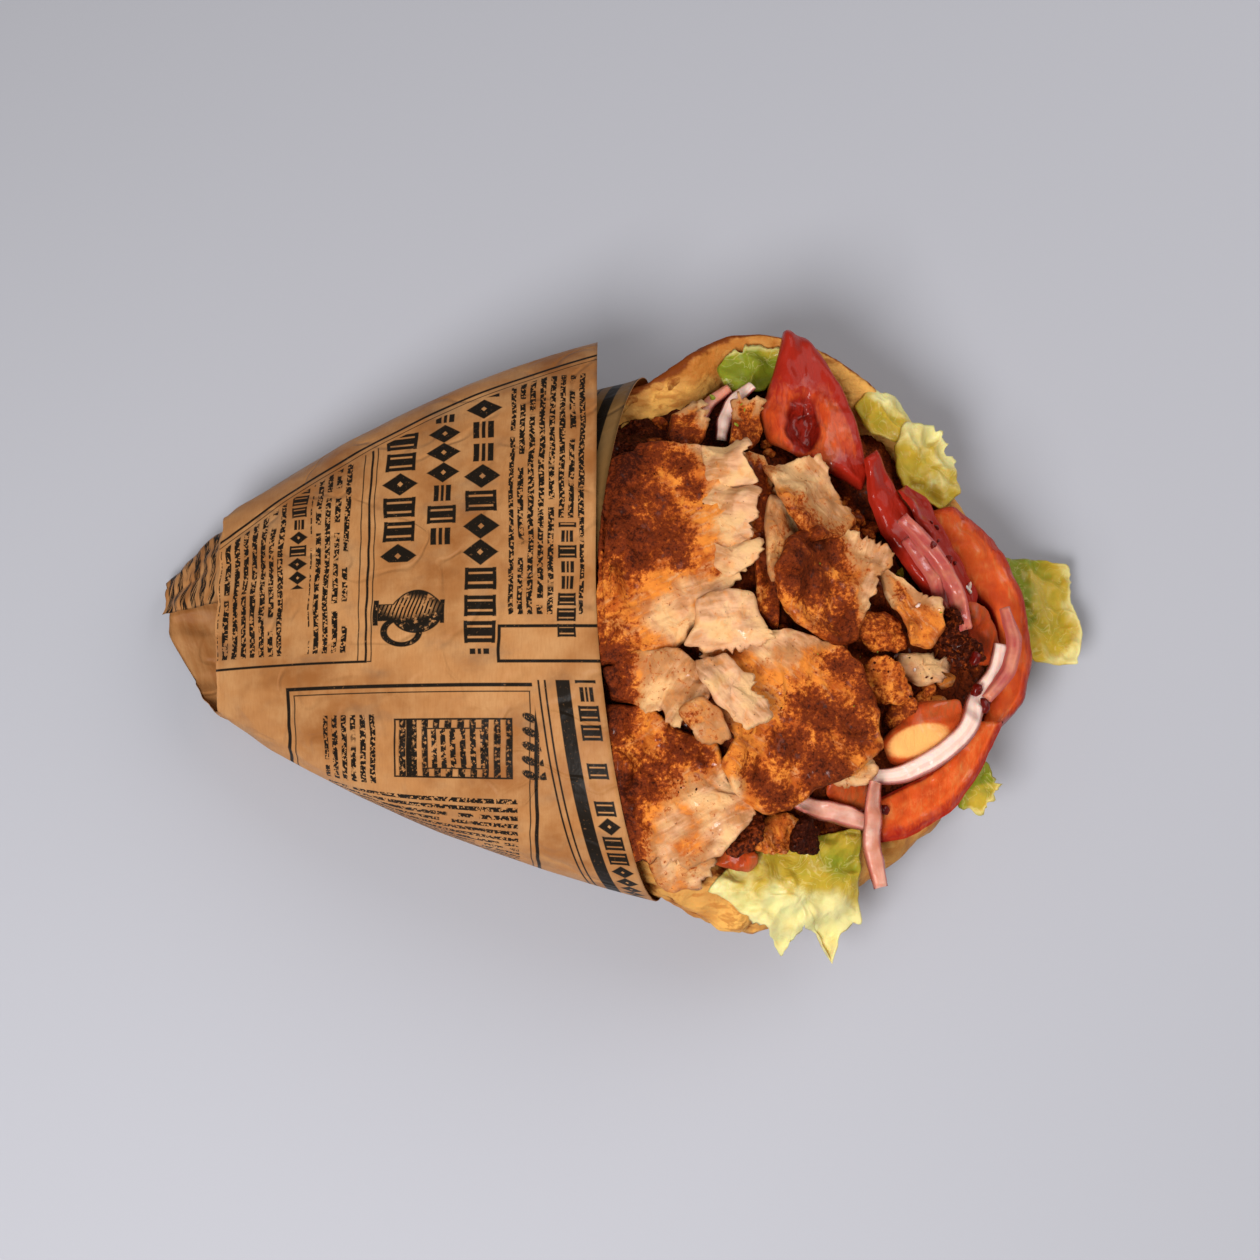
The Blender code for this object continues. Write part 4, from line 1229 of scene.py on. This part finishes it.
def add_tomato(material):
    back = Slice("tomato_back", ((34, 64), (39, 64), (44, 58), (48, 50), (51, 41), (52.5, 32),
                                 (51, 28), (46, 31), (38, 34), (30, 38.5), (28.5, 45), (31.5, 54)),
                 7, 0, 3, edge_width=3.5, teeth=0.0, wave=0.2, rounding=3, thinning=0.0,
                 wander=0.25)
    x, y, _ = back.points.T
    wobbly = 1 + 0.2 * flat_noise(x, y, 4.0, 61)
    hollow = 1 - ease(0.45, 1.0, np.hypot((x - 38) / 4.6, (y - 42) / 8.5) * wobbly)
    lobes = np.exp(-(((x - 46) / 4) ** 2 + ((y - 38) / 9) ** 2))
    gel = 1.8 * np.abs(flat_noise(x, y, 3.0, 62, 2)) * hollow
    back.raise_top(-3.4 * hollow + gel + 1.4 * lobes + 0.3 * flat_noise(x, y, 4.0, 6))
    made = add_piece("tomato_back_slice", back.points, back.faces, material, ("tomato_back",))
    outer = ease(4.5, 2.0, back.edge) * ease(-0.2, 0.5, (x - 41) / 12 + (y - 47) / 40)
    red = 0.45 + 0.5 * ease(44, 58, y) + 0.5 * ease(38, 31, y) * ease(42, 47, x)
    paint(made, "look", np.maximum(outer, red), hollow)

    crescents = {
        "tomato_end": (((67, 27), (73, 29), (82, 22), (88, 9), (90, -7), (88, -15), (81, -23)),
                       ((66, 24), (69, 17), (74, 10), (80, 4), (82, -5), (81, -13), (77, -22)), 5),
        "tomato_end_low": (((82, -21), (77, -32), (70, -41), (60, -47), (54, -48)),
                           ((76, -21), (69, -30), (65, -33), (59, -36), (53, -39)), 5),
        "tomato_strip": (((54, 37), (58, 31), (63, 23), (68, 13), (72, 5), (69, 2)),
                         ((51, 34), (52, 26), (55, 19), (60, 12), (65, 5), (67, 3)), 6),
        "tomato_strip_low": (((61, 31), (66, 29), (71, 19), (77, 8), (76, 1)),
                             ((59, 29), (62, 22), (66, 14), (70, 8), (73, 1)), 5),
    }
    for seed, (node, (outer_line, inner_line, thickness)) in enumerate(crescents.items()):
        piece = Ribbon(node, outer_line, inner_line, thickness, edge_width=2.4, seed=seed + 30)
        x, y, _ = piece.points.T
        piece.raise_top(0.35 * flat_noise(x, y, 5.0, seed + 3)
                        - 0.5 * np.exp(-((piece.across - 0.3) / 0.06) ** 2))
        made = add_piece(node + "_slice", piece.points, piece.faces, material, (node,))
        red = 0.85 if "strip" in node else 0.1
        outer_side = 0.55 * ease(0.36, 0.18, piece.across) + 0.15 * ease(0.16, 0.04, piece.across)
        sides = np.maximum(outer_side, 0.8 * ease(0.86, 0.97, piece.across))
        middle = np.exp(-((piece.across - 0.58) / 0.2) ** 2)
        peachy = middle * (0.42 if node == "tomato_end_low" else 0.3) * (1 - red)
        paint(made, "look", np.maximum(np.maximum(sides, red), 0.7 * (1 - piece.top)), 0.0, peachy)

    wedge = Slice("tomato_wedge", ((54, -27), (58, -23), (62, -18), (72, -17), (73, -23),
                                   (70, -29), (63, -33), (56, -32)), 6, 0, 8, edge_width=3,
                  teeth=0.0, wave=0.2, rounding=5, thinning=0.0, wander=0.2)
    x, y, _ = wedge.points.T
    along = ((x - 62) * 0.94 + (y + 27) * 0.34) / 8.6
    aside = ((y + 27) * 0.94 - (x - 62) * 0.34) / 4.0
    lens = 1 - ease(0.55, 1.1, np.hypot(along, aside))
    wedge.raise_top(1.1 * lens + 0.2 * flat_noise(x, y, 3.0, 8))
    made = add_piece("tomato_wedge_slice", wedge.points, wedge.faces, material, ("tomato_wedge",))
    paint(made, "look", 0.0, 0.3 * (1 - lens), lens)

    for seed, node in enumerate(("tomato_piece_end", "tomato_piece_low", "tomato_piece_front")):
        points, faces, normals = fine_mesh(node, 0.5, 6)
        points = bumped(points, normals, ((4.0, 0.6, seed + 60),))
        made = add_piece(node + "_lump", points, faces, material, (node,))
        paint(made, "look", 0.2, 0.3)


# ---------------------------------------------------------------- onion

ONION_WHITE = (0.93, 0.65, 0.55)
ONION_PINK = (0.60, 0.215, 0.13)
ONION_RED = (0.42, 0.07, 0.06)

# Centre line in plan, width, thickness and how red the strip is.
ONIONS = {
    "onion_end": (((81, -5), (80, -12), (75, -17), (73, -25), (66, -31), (58, -35), (52, -35)),
                  4.6, 2.6, 0.05),
    "onion_back": (((59, 21), (66, 13), (71, 5), (73, -3)), 3.8, 2.4, 0.95),
    "onion_back_inner": (((60, 17), (66, 9), (69, 0)), 3.2, 2.4, 1.0),
    "onion_end_outer": (((82, 3), (84, -5), (82, -12), (77, -18)), 3.4, 2.2, 0.9),
    "onion_left": (((27, 51), (22.5, 48), (20.5, 43), (20, 38)), 3.4, 2.0, 0.3),
    "onion_left_outer": (((22, 51), (17.5, 48), (15.5, 44), (15, 39)), 3.0, 2.0, 0.75),
    "onion_front": (((33, -39), (38, -42), (45, -43), (52, -45)), 4.4, 2.6, 0.6),
    "onion_front_end": (((52, -37), (52, -43), (52, -50), (54, -58)), 4.2, 2.4, 0.62),
}


def onion_material():
    look = Look("onion")
    edge, redness, ridge = look.painted("look")
    cloud = look.noise(5.0, 3.0)
    fine = look.noise(0.7, 3.0)
    colour = look.blend((redness + (cloud - 0.5) * 0.8).ramp(0.2, 0.8), ONION_WHITE, ONION_PINK)
    colour = look.blend((redness + (cloud - 0.5) * 0.8).ramp(0.72, 1.05), colour, ONION_RED)
    colour = look.blend((edge + (fine - 0.5) * 0.3).ramp(0.35, 0.8, 0.0, 0.75), colour, ONION_RED)
    colour = look.blend(ridge.ramp(0.4, 0.9, 0.0, 0.25), colour, ONION_PINK)
    normal = look.bump(ridge, 0.12)
    normal = look.bump(fine, 0.05, normal)
    return look.done(Base_Color=colour, Roughness=cloud.ramp(0.3, 0.7, 0.18, 0.35), Normal=normal,
                     Subsurface_Weight=0.35, Subsurface_Scale=0.003, Coat_Weight=0.3,
                     Coat_Roughness=0.12)


def add_onion(material):
    for seed, (node, (path, width, thickness, redness)) in enumerate(ONIONS.items()):
        first, second = band_edges(path, width, (0.75, 0.75))
        piece = Ribbon(node, first, second, thickness, spacing=0.4, edge_width=0.9, seed=seed + 50,
                       arch=0.5, rough=0.15)
        x, y, _ = piece.points.T
        wander = 2.0 * flat_noise(x, y, 6.0, seed + 55, 2)
        ridges = 0.5 + 0.5 * np.cos(2 * math.pi * 2.2 * piece.across + 3 * piece.along + wander)
        piece.raise_top(0.2 * ridges + 0.3 * flat_noise(x, y, 3.0, seed + 57, 2))
        made = add_piece(node + "_strip", piece.points, piece.faces, material, (node,))
        sides = ease(0.3, 0.02, np.minimum(piece.across, 1 - piece.across))
        paint(made, "look", np.maximum(sides, 1 - piece.top), redness, ridges)


# ---------------------------------------------------------------- lettuce

LETTUCE_GREEN = (0.22, 0.24, 0.014)
LETTUCE_YELLOW = (0.52, 0.345, 0.030)
LETTUCE_CREAM = (0.81, 0.68, 0.29)

# Outline in plan, heading of the frilled side, and how pale the leaf is.
LEAVES = {
    # lettuce_back's low paleness is partly painted shade: it lies in the shade under the bread's fold
    "lettuce_back": (((21, 60), (27, 61.5), (35, 61), (34, 56), (30, 51), (22, 51), (19, 56)), 90,
                     -0.15),
    "lettuce_right_back": (((50, 50), (54, 54), (61, 54), (66, 47), (61, 42), (54, 43)), 60, 0.5),
    "lettuce_right": (((59, 41), (62, 47), (70, 47), (72, 43), (75, 32), (70, 28), (61, 32)),
                      70, 0.55),
    "lettuce_end": (((84, 19), (92, 20), (101, 19), (101, 10), (103, 4), (102, -5), (91, -5),
                     (85, 5)), 0, 0.35),
    "lettuce_end_low": (((72, -29), (79, -29), (82, -35), (78, -40), (72, -39)), -50, 0.1),
    "lettuce_front": (((16, -59.5), (23, -53), (32, -49), (50, -45), (50, -54), (50, -60),
                       (51, -65), (46, -66), (44, -74), (41, -67), (37, -65), (33, -72),
                       (30, -67), (25, -64)), -90, 0.85),
}


def lettuce_material():
    look = Look("lettuce")
    pale, hem, _ = look.painted("look")
    cloud = look.noise(8.0, 4.0)
    veins = look.noise(5.0, 2.0, distortion=1.2)
    fine = look.noise(0.5, 3.0)
    vein = (veins - 0.5).magnitude().ramp(0.022, 0.0)
    tone = pale + (cloud - 0.5) * 1.3
    colour = look.blend(tone.ramp(0.05, 0.5), LETTUCE_GREEN, LETTUCE_YELLOW)
    colour = look.blend(tone.ramp(0.5, 0.95), colour, LETTUCE_CREAM)
    colour = look.blend(vein * 0.3, colour, LETTUCE_CREAM)
    colour = look.blend(hem.ramp(0.3, 1.0, 0.0, 0.5), colour, LETTUCE_CREAM)
    normal = look.bump(veins, 0.5)
    normal = look.bump(fine, 0.06, normal)
    return look.done(Base_Color=colour, Roughness=0.4, Normal=normal, Subsurface_Weight=0.25,
                     Subsurface_Scale=0.003, Coat_Weight=cloud.ramp(0.45, 0.6, 0.0, 0.3),
                     Coat_Roughness=0.15)


def add_lettuce(material):
    for seed, (node, (outline, frilled, pale)) in enumerate(LEAVES.items()):
        leaf = Slice(node, outline, 0.9, frilled, seed * 7 + 100, spacing=0.5, edge_width=0.4,
                     teeth=0.8, wave=1.3, wave_size=8.0, lip=1.0, thinning=0.3)
        x, y, _ = leaf.points.T
        crinkle = 1 - np.abs(noise(leaf.points * (1, 1, 0), 6.5, seed + 70, 3))
        leaf.points[:, 2] += 2.2 * (crinkle ** 2 - 0.6) * ease(0, 2.0, leaf.edge)
        made = add_piece(node + "_leaf", leaf.points, leaf.faces, material, (node,))
        outward = pale + 0.35 * leaf.torn * (1 - ease(0, 12, leaf.edge))
        if node == "lettuce_front":
            outward = outward - 0.52 * ease(-63, -53, y) * ease(16, 36, x)
        if node == "lettuce_end":
            outward = outward - 0.35 * ease(96, 86, x) + 0.3 * ease(6, -4, y)
        paint(made, "look", np.maximum(outward, 0), leaf.torn * (1 - ease(0.2, 1.5, leaf.edge)))


# ---------------------------------------------------------------- bits between the slices

# Discs in plan that bits lie in: x, y, radius, how many, least and greatest radius of a bit, then
# how browned, how pale and how charred they are.
CHICKEN_BITS = (
    (53.5, 21.0, 0.5, 1, 3.2, 3.6, 0.9, 0.0, 0.0),
    (58.4, -20.0, 0.5, 1, 4.0, 4.4, 0.8, 0.1, 0.0),
    (66.5, -17.0, 0.5, 1, 3.4, 3.8, 0.1, 0.3, 0.0),
    (69.0, -11.5, 0.5, 1, 2.6, 3.0, 0.3, 0.3, 0.0),
    (59.0, -13.0, 9.0, 12, 1.2, 2.8, 0.7, 0.2, 0.0),
    (69.0, -5.0, 6.0, 8, 1.0, 2.2, 0.7, 0.3, 0.2),
    (56.0, 14.0, 8.0, 10, 1.2, 2.6, 0.8, 0.2, 0.1),
    (13.0, 39.0, 9.0, 9, 0.8, 2.0, 0.9, 0.2, 0.1),
    (27.0, 38.0, 7.0, 12, 0.8, 2.2, 0.7, 0.3, 0.0),
    (31.0, -3.0, 5.0, 9, 0.8, 1.8, 0.7, 0.3, 0.0),
    (43.0, -42.0, 8.0, 16, 0.9, 2.2, 0.6, 0.4, 0.2),
    (20.0, -54.0, 8.0, 12, 0.8, 1.8, 0.5, 0.6, 0.0),
    (28.0, 14.0, 12.0, 20, 0.6, 1.4, 0.8, 0.3, 0.0),
    (50.0, 28.0, 8.0, 12, 0.8, 2.0, 0.8, 0.2, 0.1),
)
CHAR_BITS = (
    (72.0, -1.0, 4.0, 10, 0.3, 0.8, 1.2, 0.0, 1.0),
    (8.0, 24.0, 10.0, 12, 0.12, 0.3, 1.2, 0.0, 0.9),
    (42.0, -24.0, 12.0, 22, 0.10, 0.22, 1.2, 0.0, 0.9),
    (9.0, -34.0, 8.0, 12, 0.12, 0.3, 1.2, 0.0, 0.9),
    (60.0, -12.0, 12.0, 12, 0.2, 0.5, 1.2, 0.0, 0.9),
)
# Skin, hollow and peach for the tomato, cut edge and redness for the onion, paleness for a leaf.
TOMATO_BITS = (
    (75.0, -16.0, 0.3, 1, 1.5, 1.6, 0.0, 1.0, 0.0),
    (76.5, -19.5, 0.3, 1, 1.4, 1.6, 0.0, 1.0, 0.0),
    (74.5, -9.5, 0.3, 1, 1.2, 1.3, 0.0, 1.0, 0.0),
    (54.5, -41.0, 0.3, 1, 1.0, 1.2, 0.0, 1.0, 0.0),
    (66.0, 18.0, 8.0, 6, 0.4, 1.0, 0.0, 0.9, 0.0),
)
ONION_BITS = (
    (74.5, 8.0, 0.3, 2, 0.9, 1.2, 0.0, 0.0, 0.2),
    (60.0, -6.0, 8.0, 4, 0.5, 1.0, 0.2, 0.3, 0.5),
)
HERB_BITS = (
    (59.4, 11.0, 0.8, 2, 0.9, 1.4, 0.2, 0.0, 0.0),
    (22.0, 44.0, 8.0, 4, 0.4, 0.8, 0.1, 0.0, 0.0),
    (48.0, -10.0, 22.0, 7, 0.2, 0.4, 0.0, 0.0, 0.0),
)
IN_GAPS = ("filling",)
ON_CHICKEN = ("filling", "chicken")
BIT_SINK = 0.25         # share of a bit's radius that is sunk in what it lies on


def unit_lump(subdivisions):
    """(points, faces) of a ball of radius 1."""
    shape = bmesh.new()
    bmesh.ops.create_icosphere(shape, subdivisions=subdivisions, radius=1.0)
    points = np.array([tuple(vertex.co) for vertex in shape.verts])
    faces = np.array([[vertex.index for vertex in face.verts] for face in shape.faces])
    shape.free()
    return points, faces


def food_below(trees, x, y):
    """(height, normal, piece) of the highest food at a place in plan, in the design frame."""
    start = Vector((np.array((x, y, HIGH)) + DESIGN_TO_PART) * MM)
    hits = [(*tree.ray_cast(start, Vector((0, 0, -1)))[:2], name) for name, tree in trees.items()]
    hits = [hit for hit in hits if hit[0] is not None]
    if not hits:
        return None
    place, normal, name = max(hits, key=lambda hit: hit[0].z)
    return place.z / MM - DESIGN_TO_PART[2], normal, name


def add_bits(name, discs, trees, material, slot, seed, squash, places=("",)):
    """Scatters small lumps, as one piece, over the food whose name starts with one of places."""
    chance = random.Random(seed)
    all_points, all_faces, looks, count = [], [], [], 0
    for x, y, reach, number, least, greatest, *look in discs:
        for _ in range(number):
            heading = chance.uniform(0, 2 * math.pi)
            away = reach * math.sqrt(chance.random())
            bit_x, bit_y = x + away * math.cos(heading), y + away * math.sin(heading)
            below = food_below(trees, bit_x, bit_y)
            radius = chance.uniform(least, greatest)
            turn = Euler([chance.uniform(-0.5, 0.5), chance.uniform(-0.5, 0.5),
                          chance.uniform(0, 2 * math.pi)])
            shape = (1.0, chance.uniform(*squash), chance.uniform(*squash))
            if below is None or (reach > 1 and not below[2].startswith(places)):
                continue
            points, faces = unit_lump(3 if radius > 0.7 else 2)
            lumpy = 1 + 0.45 * noise(points + chance.uniform(0, 99), 0.9, seed, 3)
            points = points * lumpy[:, None] * radius * shape
            lie = Vector((0, 0, 1)).rotation_difference(below[1]).to_matrix() @ turn.to_matrix()
            points = points @ np.array(lie).T
            points += (bit_x, bit_y, below[0] + (shape[2] - BIT_SINK) * radius)
            all_points.append(points)
            all_faces.append(faces + count)
            looks.append(np.tile(look, (len(points), 1)))
            count += len(points)
    points, looks = np.vstack(all_points), np.vstack(looks)
    piece = add_piece(name, points, np.vstack(all_faces), material, ())
    grain_uv(piece, points[:, 0], points[:, 1], 30.0)
    shares = looks.T
    paint(piece, "look", shares[0] / (1.5 if slot in ("chicken", "char") else 1), *shares[1:])


def add_all_bits(chicken, tomato, onion, lettuce):
    depsgraph = bpy.context.evaluated_depsgraph_get()
    trees = {piece.name: BVHTree.FromObject(piece, depsgraph)
             for piece in bpy.context.scene.objects
             if piece.type == "MESH" and piece.name not in (*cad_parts, "paper", "floor")}
    add_bits("chicken_bits", CHICKEN_BITS, trees, chicken, "chicken", 11, (0.35, 0.8), IN_GAPS)
    add_bits("char_bits", CHAR_BITS, trees, chicken, "char", 12, (0.4, 0.8), ON_CHICKEN)
    add_bits("tomato_bits", TOMATO_BITS, trees, tomato, "tomato", 13, (0.7, 0.9))
    add_bits("onion_bits", ONION_BITS, trees, onion, "onion", 14, (0.3, 0.7))
    add_bits("herb_bits", HERB_BITS, trees, lettuce, "lettuce", 15, (0.2, 0.6))


# ---------------------------------------------------------------- scene

def add_floor():
    data = bpy.data.meshes.new("floor")
    half = 12.0
    data.from_pydata([(-half, -half, 0), (half, -half, 0), (half, half, 0), (-half, half, 0)], [],
                     [(0, 1, 2, 3)])
    look = Look("floor_pale")
    data.materials.append(look.done(Base_Color=FLOOR_COLOUR, Roughness=0.7))
    floor = bpy.data.objects.new("floor", data)
    bpy.context.scene.collection.objects.link(floor)


def look_at(obj, place, target):
    obj.location = place
    obj.rotation_euler = (target - place).to_track_quat("-Z", "Y").to_euler()


def add_camera():
    data = bpy.data.cameras.new("camera")
    data.lens = CAMERA_LENS
    data.sensor_width = 36.0
    data.clip_start = 0.01
    camera = bpy.data.objects.new("camera", data)
    bpy.context.scene.collection.objects.link(camera)
    target = Vector(CAMERA_TARGET) * MM
    tilt = math.radians(CAMERA_ELEVATION)
    back = Vector((0, -math.cos(tilt), math.sin(tilt)))
    look_at(camera, target + CAMERA_DISTANCE * MM * back, target)
    bpy.context.scene.camera = camera


def add_light(name, place, size, watts):
    data = bpy.data.lights.new(name, "AREA")
    data.shape = "DISK"
    data.size = size * MM
    data.energy = watts
    light = bpy.data.objects.new(name, data)
    bpy.context.scene.collection.objects.link(light)
    look_at(light, Vector(place) * MM, Vector(CAMERA_TARGET) * MM)


def add_sky():
    world = bpy.data.worlds.new("sky")
    bpy.context.scene.world = world
    world.use_nodes = True
    background = world.node_tree.nodes["Background"]
    background.inputs["Color"].default_value = (1.0, 0.985, 0.96, 1.0)
    background.inputs["Strength"].default_value = SKY_STRENGTH


def add_stage():
    add_floor()
    add_camera()
    add_light("key_light", *KEY_LIGHT)
    add_light("fill_light", *FILL_LIGHT)
    add_sky()
    bpy.context.scene.view_settings.view_transform = "Standard"


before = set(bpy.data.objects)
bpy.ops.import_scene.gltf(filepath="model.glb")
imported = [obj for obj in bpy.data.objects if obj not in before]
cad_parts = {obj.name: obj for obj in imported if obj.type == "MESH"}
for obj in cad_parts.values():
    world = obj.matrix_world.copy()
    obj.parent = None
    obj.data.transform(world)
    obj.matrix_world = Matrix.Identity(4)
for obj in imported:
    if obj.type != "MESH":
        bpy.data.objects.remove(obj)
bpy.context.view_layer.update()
add_stage()
paper = add_paper()
add_bread()
chicken, tomato = chicken_material(), tomato_material()
onion, lettuce = onion_material(), lettuce_material()
add_core(chicken)
add_chicken(chicken, paper)
add_tomato(tomato)
add_onion(onion)
add_lettuce(lettuce)
add_all_bits(chicken, tomato, onion, lettuce)
